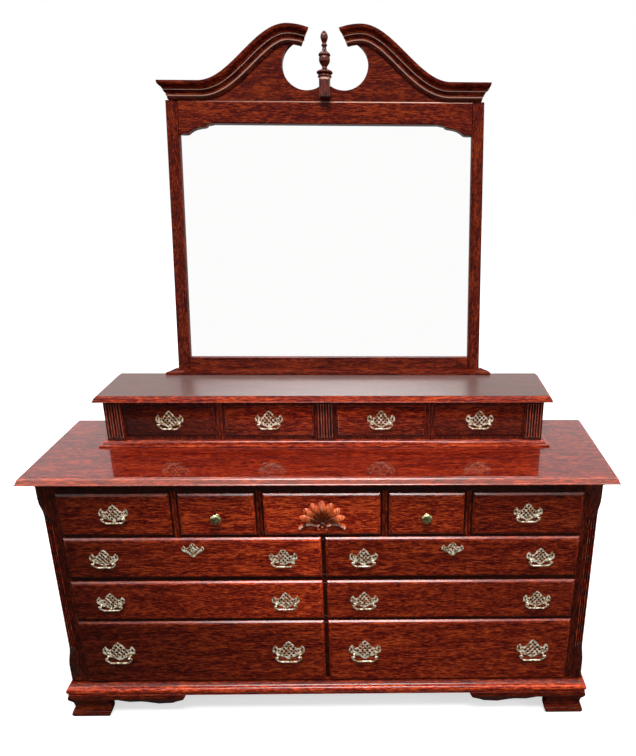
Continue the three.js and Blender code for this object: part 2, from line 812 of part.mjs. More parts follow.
function wideRow(number, row, pull, rise, locked) {
  const drawers = [];
  const outerPull = drawerHalf - pullInset;
  const innerPull = wideInner + pullInset;
  const middle = (wideInner + drawerHalf) / 2;
  for (const side of [-1, 1]) {
    const inner = side * wideInner;
    const outer = side * drawerHalf;
    const places = side < 0 ? [-outerPull, -innerPull] : [innerPull, outerPull];
    const first = side < 0 ? 1 : 3;
    drawers.push(drawer({
      name: `drawer_row${number}_${side < 0 ? "left" : "right"}`,
      left: Math.min(inner, outer),
      right: Math.max(inner, outer),
      row,
      depth: drawerDepth,
      plane: caseFront,
      pulls: places.map((x, i) => ({ name: `bail_row${number}_${first + i}`, pull, x, z: rise })),
      others: locked ? [{ body: escutcheon(), x: side * middle, z: escutcheonRise }] : [],
    }));
  }
  return drawers;
}

const galleryOuter = galleryInner + galleryLipWidth + galleryDivider;
const galleryLips = [
  -galleryOuter - galleryLipWidth,
  -galleryInner - galleryLipWidth,
  galleryInner,
  galleryOuter,
];

function galleryRowDrawers() {
  return galleryLips.map((left, i) => {
    const right = left + galleryLipWidth;
    return drawer({
      name: `drawer_gallery_${i + 1}`,
      left,
      right,
      row: galleryRow,
      depth: galleryDepth,
      plane: galleryFront,
      pulls: [{ name: `bail_gallery_${i + 1}`, pull: smallPull, x: (left + right) / 2, z: galleryPullRise }],
      edge: galleryLip,
      cover: galleryLap,
    });
  });
}

// Gallery

function galleryBase() {
  const reach = 24;
  const profileShares = [[0, 1], [0.22, 1], [0.3, 0.82], [0.45, 0.78], [0.6, 0.45], [0.8, 0.2], [1, 0.12]];
  return moulded(profileShares.map(([rise, out]) => ({
    half: galleryHalf + out * reach,
    front: galleryFront - out * reach,
    back: caseBack,
    z: caseTopHeight + rise * galleryBaseHeight,
  })));
}

function pilaster(centre, half) {
  const front = galleryFront - pilasterProud;
  const low = galleryFloor;
  const body = board([centre - half, front, low], [centre + half, galleryFront + embed, galleryHead]);
  const flutes = [-1, 0, 1].map((place) => flute(
    centre + place * pilasterPitch,
    front - pilasterFluteRadius + pilasterFluteSink,
    pilasterFluteRadius,
    low + galleryRailLow / 2,
    galleryHead - galleryRailHigh / 2,
  ));
  return cut(body, flutes);
}

function galleryFrame() {
  const back = caseBack - galleryBackThickness;
  const shellBody = board([-galleryHalf, galleryFront, galleryFloor], [galleryHalf, caseBack, galleryHead]);
  const low = galleryRow.low + galleryLap;
  const high = galleryRow.low + galleryRowHeight - galleryLap;
  const bays = galleryLips.map((left) => board(
    [left + galleryLap, galleryFront - overrun, low],
    [left + galleryLipWidth - galleryLap, back, high],
  ));
  const endHalf = (galleryEnd - pilasterReveal) / 2;
  const end = galleryHalf - endHalf;
  const pilasters = [
    pilaster(-end, endHalf),
    pilaster(0, galleryInner - pilasterReveal),
    pilaster(end, endHalf),
  ];
  return joined([cut(shellBody, bays), ...pilasters]);
}

function galleryTop() {
  const reach = 16;
  const profileShares = [
    [0, -0.3], [0.05, 0.5], [0.15, 0.88], [0.3, 1], [0.5, 0.88], [0.65, 0.44], [0.85, 0.12], [1, 0],
  ];
  return moulded(profileShares.map(([rise, out]) => ({
    half: galleryTopHalf + out * reach,
    front: galleryTopFront - out * reach,
    back: caseBack,
    z: galleryHead + rise * galleryTopThickness,
  })));
}

// Mirror frame. x is across, y goes back through the frame and z goes up the lean

function mirrorStile() {
  const bead = opening + beadWidth;
  const beadShares = [[0, 0.4], [0.3, 0.16], [1, 0.2]]; // across the bead, and sunk towards the glass
  const plan = [
    ...beadShares.map(([across, sunk]) => [opening + across * beadWidth, sunk * frontOfGlass]),
    [bead, 0],
    [frameHalf, 0],
    [frameHalf, frameThickness],
    [opening + rebate, frameThickness],
    [opening + rebate, frontOfGlass],
    [opening, frontOfGlass],
  ];
  return geometryOf(standing(plan, sillHeight + gap, frameTop));
}

// The sill under the frame is planed to the lean, so that it stands flat on the gallery
function mirrorBottomRail() {
  const plane = THREE.MathUtils.degToRad(mirrorLean);
  const depthBelow = (frameThickness + sillProud) * Math.sin(plane);
  const profileShares = [[0.25, 1], [0.4, 0.86], [0.7, 0.5], [0.85, 0.42], [1, 0.32]];
  const levels = [[-depthBelow, 1], ...profileShares.map(([rise, out]) => [rise * sillHeight, out])];
  const sill = moulded(levels.map(([z, out]) => ({
    half: frameHalf + out * sillSide,
    front: -sillProud + (1 - out) * sillSlope,
    back: frameThickness,
    z,
  })));
  const half = opening - gap;
  const beadFoot = bottomRailTop - 1.5 * beadWidth;
  const beadShares = { sunk: 0.1, edgeSunk: 0.4, edge: 0.3 };
  const section = outline([
    [0, sillHeight - embed],
    [frameThickness, sillHeight - embed],
    [frameThickness, bottomRailTop - rebate],
    [frontOfGlass, bottomRailTop - rebate],
    [frontOfGlass, bottomRailTop],
    [beadShares.edgeSunk * frontOfGlass, bottomRailTop],
    [beadShares.sunk * frontOfGlass, bottomRailTop - beadShares.edge * beadWidth],
    [beadShares.sunk * frontOfGlass, beadFoot],
    [0, beadFoot],
  ]);
  const rail = sideways(section, -half, half);
  const under = new THREE.BoxGeometry(3 * frameHalf, 2 * caseBack, caseBack);
  under.translate(0, 0, gap - caseBack / 2).rotateX(plane);
  return joined([sill, rail]).subtract(solid(under));
}

// The top rail has a serpentine bracket in each corner of the glass
function mirrorTopRail() {
  const half = opening - gap;
  const low = topRailEdge - bracketDrop;
  const shape = new THREE.Shape();
  shape.moveTo(-half, frameTop);
  shape.lineTo(-half, low);
  const side = (sign, points) => points.map(([run, rise]) => [
    sign * (half - run * bracketRun),
    low + rise * bracketDrop,
  ]);
  const curveShares = [[0.18, 0], [0.34, 0.3], [0.62, 0.62], [0.8, 0.81], [0.81, 0.9], [1, 1]];
  for (const [x, z] of side(-1, curveShares)) shape.lineTo(x, z);
  for (const [x, z] of side(1, curveShares).reverse()) shape.lineTo(x, z);
  shape.lineTo(half, low);
  shape.lineTo(half, frameTop);
  const front = facing(shape, 0, frontOfGlass);
  const behind = board(
    [-half, frontOfGlass - embed, topRailEdge + glassLap + gap],
    [half, frameThickness, frameTop],
  );
  return front.add(behind);
}

function mirrorGlass() {
  const half = opening + rebate - gap;
  return board(
    [-half, frontOfGlass + gap, bottomRailTop - rebate + gap],
    [half, frontOfGlass + gap + glassThickness, topRailEdge + glassLap],
  );
}

// The back board of the glass, on two battens that are sawn to the lean: upright behind the case and the
// gallery, sloping behind the frame
function mirrorBack() {
  const lean = THREE.MathUtils.degToRad(mirrorLean);
  const along = (y, z) => {
    const back = y - mirrorPlane;
    const rise = z - galleryTopHeight;
    return [back * Math.cos(lean) - rise * Math.sin(lean), back * Math.sin(lean) + rise * Math.cos(lean)];
  };
  const half = opening + rebate - gap;
  const front = frontOfGlass + 2 * gap + glassThickness;
  const panel = board(
    [-half, front, bottomRailTop - rebate + gap],
    [half, frameThickness + embed, topRailEdge + glassLap],
  );
  const wall = caseBack + gap;
  const section = outline([
    along(wall, battenFoot),
    along(wall + battenThickness, battenFoot),
    along(wall + battenThickness, galleryTopHeight - 4 * battenThickness),
    [frameThickness + battenThickness, 0],
    [frameThickness + battenThickness, battenHead],
    [frameThickness + gap, battenHead],
    [frameThickness + gap, -battenThickness],
    along(wall, galleryTopHeight - battenThickness),
  ]);
  const battens = [-battenPlace, battenPlace].map((x) => sideways(section, x - battenHalf, x + battenHalf));
  return joined([panel, ...battens]);
}

// Pediment

// Height of the swan neck's top edge over the flat of the crown, from the start of the rise
function swanHeight(x) {
  const share = (swanStart - x) / (swanStart - swanCrest);
  if (share <= 0) return 0;
  return swanRise * ripple(share <= 1 ? share : 1 + tipEaseShare * (share - 1));
}

const crownTop = frameTop + crownHeight;

// The board behind the crown follows the swan necks and is cut by a round opening under each scroll
function pedimentBoard() {
  const dropShare = 0.1;
  const drop = dropShare * crownHeight;
  const steps = 12;
  const right = [[boardHalf, crownTop - drop]];
  for (let i = 0; i <= steps; i += 1) {
    const x = swanStart + (throatHalf - swanStart) * (i / steps);
    right.push([x, crownTop + swanHeight(x) - drop]);
  }
  right.push([throatHalf, scrollCentre.h]);
  const left = right.map(([x, z]) => [-x, z]).reverse();
  const shape = outline([[-boardHalf, frameTop + gap], [boardHalf, frameTop + gap], ...right, ...left]);
  const cutters = [-1, 1].map((side) => {
    const bore = new THREE.CylinderGeometry(scrollRadius, scrollRadius, 4 * frameThickness, 28);
    return solid(bore.translate(side * scrollCentre.x, 0, scrollCentre.h));
  });
  return cut(facing(shape, 0, frameThickness), cutters);
}

// Crown moulding, as how far it stands out and how far it is under the top edge
const crownShares = [
  [0, 0], [1, 0], [1, 0.08], [0.9, 0.21], [0.67, 0.31], [0.57, 0.41], [0.5, 0.42], [0.5, 0.47], [0.4, 0.59],
  [0.27, 0.64], [0.27, 0.78], [0.17, 0.82], [0.17, 0.9], [0.07, 1], [0, 1],
];

// One run of crown from the back of the side, round the mitre and up the swan neck to its cut end
function swanNeck() {
  const profile = crownShares.map(([out, down]) => [out * crownProud + gap, down * crownHeight]);
  const ringAt = (place) => profile.map(([out, down]) => place(out, down));
  const rings = [
    ringAt((out, down) => [boardHalf + out, frameThickness, crownTop - down]),
    ringAt((out, down) => [boardHalf + out, -out, crownTop - down]),
  ];
  const steps = 12;
  for (let i = 0; i <= steps; i += 1) {
    const x = swanStart + (swanTip - swanStart) * (i / steps);
    const nudge = swanStart / 1000;
    const slope = (swanHeight(x - nudge) - swanHeight(x + nudge)) / (2 * nudge);
    const length = Math.hypot(1, slope);
    const slant = i === steps ? tipSlantShare : 0;
    rings.push(ringAt((out, down) => [
      x - (down * slope + slant * out) / length,
      -out,
      crownTop + swanHeight(x) + (slant * out * slope - down) / length,
    ]));
  }
  const flat = profile.map(([out, down]) => new THREE.Vector2(out, down));
  const caps = THREE.ShapeUtils.triangulateShape(flat, []);
  return geometryOf(lofted(rings.reverse(), caps));
}

function finial() {
  const plinth = board(
    [-finialPlinthHalf, -2 * finialPlinthHalf, finialPlinthFoot],
    [finialPlinthHalf, -gap, finialPlinthFoot + finialPlinthHeight],
  );
  const fluteShares = { pitch: 0.56, out: 0.4, foot: 0.1, head: 0.9 };
  const flutes = [-1, 0, 1].map((place) => flute(
    place * fluteShares.pitch * finialPlinthHalf,
    -2 * finialPlinthHalf - fluteShares.out * fluteRadius,
    fluteRadius,
    finialPlinthFoot + fluteShares.foot * finialPlinthHeight,
    finialPlinthFoot + fluteShares.head * finialPlinthHeight,
  ));
  const profileShares = [
    [0, 0], [0.7, 0], [0.7, 0.04], [0.84, 0.08], [0.6, 0.11], [1, 0.15], [0.95, 0.18], [0.32, 0.25],
    [0.4, 0.3], [0.68, 0.39], [0.7, 0.45], [0.6, 0.48], [0.75, 0.51], [0.6, 0.55], [0.2, 0.63],
    [0.31, 0.7], [0.2, 0.76], [0.42, 0.86], [0.38, 0.9], [0, 1],
  ];
  const urn = turned(profileShares, finialRadius, finialHeight, 10);
  urn.translate(0, -finialPlinthHalf - gap, finialPlinthFoot + finialPlinthHeight - embed);
  return joined([cut(plinth, flutes), solid(urn)]);
}

// Assembly

function caseGroup() {
  const group = new THREE.Group();
  group.add(...caseSides(), ...feet());
  group.add(piece("case_back", geometryOf(caseBackPanel()), plainWood()));
  group.add(piece("case_plinth", geometryOf(casePlinth()), cherry()));
  group.add(piece("case_top", geometryOf(caseTop()), cherry()));
  group.add(piece("top_row_frame", geometryOf(topRowFrame()), cherry()));
  group.add(piece("centre_divider", geometryOf(centreDivider()), cherry()));
  group.add(piece("rail_row4_row3", geometryOf(crossRail(rowFour, rowThree)), cherry()));
  group.add(piece("rail_row3_row2", geometryOf(crossRail(rowThree, rowTwo)), cherry()));
  const upper = dustFrame(rowTwo.low + rowTwoHeight - lap, rowOne.low + lap);
  group.add(piece("rail_row2_row1", geometryOf(upper), cherry()));
  group.add(...topRow());
  group.add(...wideRow(2, rowTwo, smallPull, 0, true));
  group.add(...wideRow(3, rowThree, smallPull, rowThreePullRise, false));
  group.add(...wideRow(4, rowFour, largePull, rowFourPullRise, false));
  return group;
}

function galleryGroup() {
  const group = new THREE.Group();
  group.add(piece("gallery_base", geometryOf(galleryBase()), cherry()));
  group.add(piece("gallery_frame", geometryOf(galleryFrame()), cherry()));
  group.add(piece("gallery_top", geometryOf(galleryTop()), cherry()));
  group.add(...galleryRowDrawers());
  return group;
}

function mirrorGroup() {
  const group = new THREE.Group();
  group.position.set(0, mirrorPlane, galleryTopHeight);
  group.rotation.x = -THREE.MathUtils.degToRad(mirrorLean);
  group.add(piece("mirror_stile_right", mirrorStile(), cherry()));
  group.add(piece("mirror_stile_left", mirrored(mirrorStile()), cherry()));
  group.add(piece("mirror_bottom_rail", geometryOf(mirrorBottomRail()), cherry()));
  group.add(piece("mirror_top_rail", geometryOf(mirrorTopRail()), cherry()));
  group.add(piece("mirror_glass", geometryOf(mirrorGlass()), silvering()));
  group.add(piece("mirror_back", geometryOf(mirrorBack()), plainWood()));
  group.add(piece("pediment_board", geometryOf(pedimentBoard()), cherry()));
  group.add(piece("swan_neck_right", swanNeck(), cherry()));
  group.add(piece("swan_neck_left", mirrored(swanNeck()), cherry()));
  group.add(piece("finial", geometryOf(finial()), cherry()));
  return group;
}

const dresser = new THREE.Group();
dresser.add(caseGroup(), galleryGroup(), mirrorGroup());
dresser.updateMatrixWorld(true);
const bounds = new THREE.Box3().setFromObject(dresser, true);
dresser.position.y = -(bounds.min.y + bounds.max.y) / 2;

export default dresser;
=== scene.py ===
import math

import bmesh
import bpy
from mathutils import Matrix, Vector


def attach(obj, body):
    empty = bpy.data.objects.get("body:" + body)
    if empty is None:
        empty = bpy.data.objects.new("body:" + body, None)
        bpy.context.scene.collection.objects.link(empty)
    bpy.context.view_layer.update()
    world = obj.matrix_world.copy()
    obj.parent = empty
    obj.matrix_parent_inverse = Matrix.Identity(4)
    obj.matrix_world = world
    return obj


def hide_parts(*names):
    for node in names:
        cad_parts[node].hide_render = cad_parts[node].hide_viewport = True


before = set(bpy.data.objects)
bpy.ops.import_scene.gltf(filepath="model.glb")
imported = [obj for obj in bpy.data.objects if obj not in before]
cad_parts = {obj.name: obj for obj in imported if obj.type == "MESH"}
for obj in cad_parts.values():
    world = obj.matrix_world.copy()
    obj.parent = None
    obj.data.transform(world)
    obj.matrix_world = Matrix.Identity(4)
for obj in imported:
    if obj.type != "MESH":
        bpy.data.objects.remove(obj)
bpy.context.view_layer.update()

# The case sides: cherry boards, each glued to a corner post that is canted, fluted, and square again at
# both ends under a lamb's tongue. All the wood that shows is stained dark red and lacquered. The grain of
# an upright board runs up, that of a rail or a drawer front runs across.


def tree_tools(tree):
    """Two short ways to build a node tree: one adds a node with its values, the other links two nodes."""

    def node(kind, settings=(), **values):
        made = tree.nodes.new(kind)
        for key, value in settings:
            setattr(made, key, value)
        for key, value in values.items():
            made.inputs[key.replace("_", " ")].default_value = value
        return made

    def link(source, output, target, socket):
        tree.links.new(source.outputs[output], target.inputs[socket])

    return node, link


def new_material(name):
    """A new material, its shader, and the two tools of its tree."""
    material = bpy.data.materials.new(name)
    material.use_nodes = True
    return material, material.node_tree.nodes["Principled BSDF"], *tree_tools(material.node_tree)


def wood(name, grain, stain, gloss, sheen, haze=0.05, highlight_colour=(0.85, 0.5, 0.38)):
    """Stained wood. grain is how fast the figure changes along x, y and z. stain is its darkest, middle
    and lightest colour, made darker or lighter corner by corner by a tone that also paints light and shade
    into it, and the last colour is that of the painted highlights and painted reflections mixed in corner by
    corner. sheen is the roughness of the wood, gloss the strength of the lacquer over it, and haze the
    roughness of that lacquer."""
    material, shader, node, link = new_material(name)
    cut_apart = (7.0, 3.0, 5.0)  # how far from each other in the log two boards are cut
    finer, stronger = 5.5, 2.2  # the fine streaks against the figure
    place = node("ShaderNodeTexCoord")
    number = node("ShaderNodeAttribute", [("attribute_name", "board")])
    shift = node("ShaderNodeVectorMath", [("operation", "MULTIPLY_ADD")])
    shift.inputs[1].default_value = cut_apart
    link(number, "Fac", shift, 0)
    link(place, "Object", shift, 2)
    along = node("ShaderNodeMapping", Scale=grain)
    link(shift, "Vector", along, "Vector")
    figure = node("ShaderNodeTexNoise", Scale=1.0, Detail=3.0, Roughness=0.6, Distortion=0.8)
    link(along, "Vector", figure, "Vector")
    streaks = node("ShaderNodeMapping", Scale=tuple(finer * value for value in grain))
    link(shift, "Vector", streaks, "Vector")
    fine = node("ShaderNodeTexNoise", Scale=1.0, Detail=3.0, Roughness=0.7, Distortion=0.4)
    link(streaks, "Vector", fine, "Vector")
    both = node("ShaderNodeMath", [("operation", "MULTIPLY_ADD")])
    both.inputs[1].default_value = stronger
    link(fine, "Fac", both, 0)
    link(figure, "Fac", both, 2)
    spread = node("ShaderNodeMapRange", From_Min=1.26, From_Max=1.92)
    link(both, "Value", spread, "Value")
    stained = node("ShaderNodeValToRGB")
    stops = stained.color_ramp.elements
    stops[1].position = 0.5
    stops.new(1.0)
    for stop, colour in zip(stops, stain):
        stop.color = (*colour, 1)
    link(spread, "Result", stained, "Fac")
    # the tone scales the stain; many pieces use it for painted light and painted shade
    tone = node("ShaderNodeAttribute", [("attribute_name", "tone")])
    toned = node("ShaderNodeVectorMath", [("operation", "SCALE")])
    link(stained, "Color", toned, 0)
    link(tone, "Fac", toned, "Scale")
    # painted highlights, and on the gallery top a painted reflection: this attribute mixes the last colour
    # into the stain
    worn = node("ShaderNodeAttribute", [("attribute_name", "worn")])
    painted_highlights = node("ShaderNodeMixRGB", Color2=(*highlight_colour, 1))
    link(worn, "Fac", painted_highlights, "Fac")
    link(toned, "Vector", painted_highlights, "Color1")
    link(painted_highlights, "Color", shader, "Base Color")
    pores = node("ShaderNodeBump", Strength=0.25, Distance=0.0003)
    link(fine, "Fac", pores, "Height")
    link(pores, "Normal", shader, "Normal")
    shader.inputs["Roughness"].default_value = sheen
    shader.inputs["Specular IOR Level"].default_value = 0.05
    shader.inputs["Coat Weight"].default_value = gloss
    shader.inputs["Coat Roughness"].default_value = haze
    shader.inputs["Coat IOR"].default_value = 1.5
    return material


cherry_stain = ((0.045, 0.0018, 0.0012), (0.19, 0.0115, 0.0036), (0.52, 0.07, 0.014))
grain_up, grain_across = (60, 60, 9), (9, 60, 60)
cherry_up = wood("cherry_up", grain_up, cherry_stain, 0.8, 0.4)


def finished(shape, name, body, nodes, material, tone=1.0, fold=32, worn=0.0):
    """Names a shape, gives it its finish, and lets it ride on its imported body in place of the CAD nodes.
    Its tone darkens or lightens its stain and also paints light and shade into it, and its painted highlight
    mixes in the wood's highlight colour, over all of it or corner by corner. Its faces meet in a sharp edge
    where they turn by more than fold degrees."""
    mesh = bpy.data.meshes.new(name)
    shape.to_mesh(mesh)
    shape.free()
    mesh.shade_smooth()
    mesh.set_sharp_from_angle(angle=math.radians(fold))
    golden = 0.618034  # makes each name a number from 0 to 1 that is far from its neighbours'
    number = (sum((i + 1) * ord(letter) for i, letter in enumerate(name)) * golden) % 1
    for title, value in (("board", number), ("tone", tone), ("worn", worn)):
        spot = mesh.attributes.new(title, "FLOAT", "POINT")
        spot.data.foreach_set("value", value if isinstance(value, list) else [value] * len(mesh.vertices))
    mesh.materials.append(material)
    piece = bpy.data.objects.new(name, mesh)
    bpy.context.scene.collection.objects.link(piece)
    flats = piece.modifiers.new("flats", "WEIGHTED_NORMAL")
    flats.keep_sharp = True
    flats.weight = 100
    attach(piece, body)
    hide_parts(*nodes)
    return piece


def rounded(shape, edges, width, segments):
    """Rounds those edges of a shape."""
    bmesh.ops.bevel(
        shape, geom=edges, offset=width, offset_type="OFFSET", affect="EDGES", segments=segments,
        profile=0.5, material=-1, clamp_overlap=True,
    )


def eased(shape, width, least):
    """Takes the arris off the sharp edges of a shape that are longer than least."""
    rounded(shape, [
        edge for edge in shape.edges
        if len(edge.link_faces) == 2 and edge.calc_length() > least
        and edge.calc_face_angle(0) > math.radians(38)
    ], width, 2)


def as_drawn(node, width=0.0008, least=0.02):
    """A copy of a CAD board with its corners merged, its flat faces whole and its arrises eased."""
    shape = bmesh.new()
    shape.from_mesh(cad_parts[node].data)
    bmesh.ops.remove_doubles(shape, verts=shape.verts, dist=0.000002)
    bmesh.ops.dissolve_limit(shape, angle_limit=math.radians(0.4), verts=shape.verts, edges=shape.edges)
    if width:
        eased(shape, width, least)
    return shape


# the plan is in millimetres, with y counted from the front of the case top
mm, plan_shift = 0.001, -323.276


def shaded(shape, tone, grooves):
    """A tone for every corner of a shape, with painted shade in its grooves, each the x, y and radius of an
    axis.
    """
    tones_and_light = []
    for corner in shape.verts:
        x, y = abs(corner.co.x) / mm, corner.co.y / mm - plan_shift
        sunk = any(math.hypot(x - a, y - b) < radius + 0.1 for a, b, radius in grooves)
        tones_and_light.append(tone * (0.2 if sunk else 1))
    return tones_and_light


def set_in(shape):
    """Brings a shape from the plan to its place."""
    bmesh.ops.transform(
        shape, verts=shape.verts,
        matrix=Matrix.Translation((0, plan_shift * mm, 0)) @ Matrix.Scale(mm, 4),
    )
    return shape


def beads(places, radius, low, high):
    """Thin round beads that stand at those places."""
    row = bmesh.new()
    for x, y in places:
        made = bmesh.ops.create_cone(
            row, cap_ends=True, segments=12, radius1=radius, radius2=radius, depth=high - low,
        )["verts"]
        bmesh.ops.translate(row, verts=made, vec=(x, y, (low + high) / 2))
    return set_in(row)


# the canted face of the right post in the plan: its middle, the way along it and the way out of it
post_middle, post_along, post_out = (803, 34), (0.832, 0.5547), (0.5547, -0.832)


def on_post(run, proud):
    """The x and y of a point that far along the canted face and that far out of it."""
    return [post_middle[i] + post_along[i] * run + post_out[i] * proud for i in (0, 1)]


post_grooves = [(*on_post(run, 1.2), 3.6) for run in (-10.4, 0, 10.4)]
post_beads = [on_post(run, -0.4) for run in (-15, -5.2, 5.2, 15)]
for way, side in ((-1, "left"), (1, "right")):
    node = f"case_side_{side}"
    board = as_drawn(node, 0.0006, 0.1)
    # painted shade in the post's flutes, and beads toned far lighter than the board: painted light on their
    # ridges
    tones_and_light = shaded(board, 0.25, post_grooves)
    finished(board, f"{node}_board", "case", [node], cherry_up, tones_and_light)
    lines = beads([(way * x, y) for x, y in post_beads], 1.5, 256, 716)
    finished(lines, f"{node}_beads", "case", [], cherry_up, 1.1)

# The back of the case, and the board behind the mirror with its two battens: plain brown board, nailed
# and screwed on, with no stain or lacquer.
brown = ((0.2, 0.115, 0.06), (0.3, 0.18, 0.095), (0.4, 0.25, 0.14))
bare_board = wood("bare_board", (9, 9, 60), brown, 0.0, 0.75)
for node in ("case_back", "mirror_back"):
    finished(as_drawn(node), f"{node}_board", "case", [node], bare_board)

# The plinth: a moulding mitred round the foot of the case, with the bottom board and the lowest frame
# inside it. A bold torus at mid height, a cove above it that runs out at the case.
cherry_across = wood("cherry_across", grain_across, cherry_stain, 0.8, 0.4)


def flowing(points, steps=4):
    """The line of a moulding through its points, smooth but for the quirks, which carry a third value."""
    line = []
    for i in range(len(points) - 1):
        start, end = points[i], points[i + 1]
        before = points[i - 1] if i > 0 and len(start) == 2 else start
        after = points[i + 2] if i + 2 < len(points) and len(end) == 2 else end
        straight = len(start) == 3 and len(end) == 3
        for step in range(1 if straight else steps):
            t = 0 if straight else step / steps
            line.append(tuple(
                0.5 * (2 * b + (c - a) * t + (2 * a - 5 * b + 4 * c - d) * t ** 2
                       + (3 * b - a - 3 * c + d) * t ** 3)
                for a, b, c, d in zip(before[:2], start[:2], end[:2], after[:2])
            ))
    line.append(tuple(points[-1][:2]))
    return line


def drawn(outlines):
    """A solid extruded from its first outline to each of the next ones, in millimetres of the plan."""
    shape = bmesh.new()
    first = [shape.verts.new((x, y, z)) for x, y, z in outlines[0]]
    face = shape.faces.new(first)
    order = {corner: i for i, corner in enumerate(first)}
    for ring in outlines[1:]:
        grown = bmesh.ops.extrude_face_region(shape, geom=[face])["geom"]
        face = next(item for item in grown if isinstance(item, bmesh.types.BMFace))
        followed = {}
        for corner in face.verts:
            root = next(
                edge.other_vert(corner) for edge in corner.link_edges if edge.other_vert(corner) in order
            )
            followed[corner] = order[root]
        for corner, i in followed.items():
            corner.co = ring[i]
        order = followed
    bmesh.ops.recalc_face_normals(shape, faces=shape.faces)
    return shape


def added(shape, other):
    """Puts another shape into a shape."""
    spare = bpy.data.meshes.new("spare")
    other.to_mesh(spare)
    other.free()
    shape.from_mesh(spare)
    bpy.data.meshes.remove(spare)
    return shape


def moulded(levels):
    """A board with a mitred moulding on its front and ends, from (half width, front, back, height) rows."""
    return drawn([
        [(-half, front, z), (half, front, z), (half, back, z), (-half, back, z)]
        for half, front, back, z in levels
    ])


# half the width of the case, and the planes of its front and back. A moulding's line is how far up it has
# come and how far out it stands, both as shares of its height and depth.
half_width, front_plane, back_plane = 818, 24, 430
plinth_line = flowing([
    (0, 0.83, 1), (0.11, 0.83, 1), (0.13, 0.7, 1), (0.2, 0.86), (0.31, 1), (0.44, 1), (0.55, 0.9),
    (0.6, 0.78, 1), (0.66, 0.76, 1), (0.68, 0.62, 1), (0.74, 0.42), (0.85, 0.23), (1, 0.14, 1),
])
plinth_foot, plinth_height, plinth_depth = 88, 45, 18
plinth = moulded([
    (half_width + out * plinth_depth, front_plane - out * plinth_depth, back_plane,
     plinth_foot + rise * plinth_height)
    for rise, out in plinth_line
])
# toned far lighter than the other cherry: a painted highlight on the moulding
finished(set_in(plinth), "plinth_moulding", "case", [], cherry_across, 2.3)
finished(as_drawn("case_plinth", 0), "bottom_board", "case", ["case_plinth"], cherry_across)

# The frames between the rows: rails, runners and thin dust panels, with the upright between the wide
# drawers halved over them, and the frame of the top row, glued into the sides.
# all of them are toned nearly black: painted shade where they lie back under the drawers' lips
for node in ("rail_row4_row3", "rail_row3_row2", "rail_row2_row1", "centre_divider", "top_row_frame"):
    cherry = cherry_up if node == "centre_divider" else cherry_across
    finished(as_drawn(node), f"{node}_wood", "case", [node], cherry, 0.12)

# The reeds: half-round strips of the same cherry, glued in pairs on each narrow upright between two
# drawers of the top row, and of the gallery.
gallery_plane = 228
reed_list = [(x, 664, 815, front_plane, 3.6) for x in (-428.5, -183, 183, 428.5)]
reed_list += [(x, 889, 1018, gallery_plane, 4.6) for x in (-324, 324)]
for x, low, high, plane, radius in reed_list:
    pair = bmesh.new()
    for way in (-1.1, 1.1):
        section = []
        for turn in [math.pi * i / 10 for i in range(11)]:
            proud = 0.8 * radius * math.sin(turn)
            section.append((x + radius * (way + math.cos(turn)), plane + 0.3 - proud))
        added(pair, drawn([[(a, b, z) for a, b in section] for z in (low, high)]))
    reeds = f"reeds_{x:.0f}_{low}".replace("-", "left_")
    finished(set_in(pair), reeds, "case", [], cherry_up, 0.6)

# The bracket feet: short cherry boards shaped to an ogee, sawn to a scroll along their lower edge,
# mitred and glued at the corners of the case, and fixed up under the plinth.
for place in ("front_right", "front_left", "rear_right", "rear_left"):
    node = f"foot_{place}"
    finished(as_drawn(node), f"{node}_bracket", "case", [node], cherry_across, 0.38, 40)

# The top of the case: a cherry board with an ogee edge on three sides, glued down on the frames and the
# sides, with a bed moulding planted under its overhang. It is rubbed to a mirror finish.
polished_stain = ((0.05, 0.0014, 0.001), (0.24, 0.009, 0.0028), (0.58, 0.06, 0.012))
cherry_polished = wood("cherry_polished", grain_across, polished_stain, 1.0, 0.3)
bed_line = flowing([(0, 0.15, 1), (0.2, 0.2, 1), (0.55, 0.5), (0.8, 0.9, 1), (0.85, 1, 1), (1, 1, 1)])
case_edge = flowing([
    (0, 0.3, 1), (0.03, 0.75, 1), (0.1, 0.97), (0.18, 1, 1), (0.25, 0.92, 1), (0.28, 0.84, 1), (0.5, 0.72),
    (0.78, 0.55, 1), (0.88, 0.42, 1), (0.96, 0.2), (1, 0, 1),
])
bed_foot, board_foot, board_height = 832, 850, 22
levels = [
    (half_width + out * 14, front_plane - out * 14, back_plane, bed_foot + rise * (board_foot - bed_foot))
    for rise, out in bed_line
]
levels += [
    (840 + out * 15.9, -out * 15.9, back_plane, board_foot + rise * board_height) for rise, out in case_edge
]
case_top = moulded(levels)
# painted light: the bed moulding in the shade of the overhang is toned far lighter, and the moulded edge is
# toned lighter than the flat top, with a faint painted highlight
tones_and_light, painted_highlights = [], []
for corner in case_top.verts:
    up = corner.co.z - board_foot
    tones_and_light.append(0.75 if up > 21 else 1.2 if up > 1 else 3.5)
    painted_highlights.append(0.14 if 1 < up < 21 else 0.0)
finished(
    set_in(case_top), "case_top_board", "case", ["case_top"], cherry_polished, tones_and_light,
    worn=painted_highlights,
)

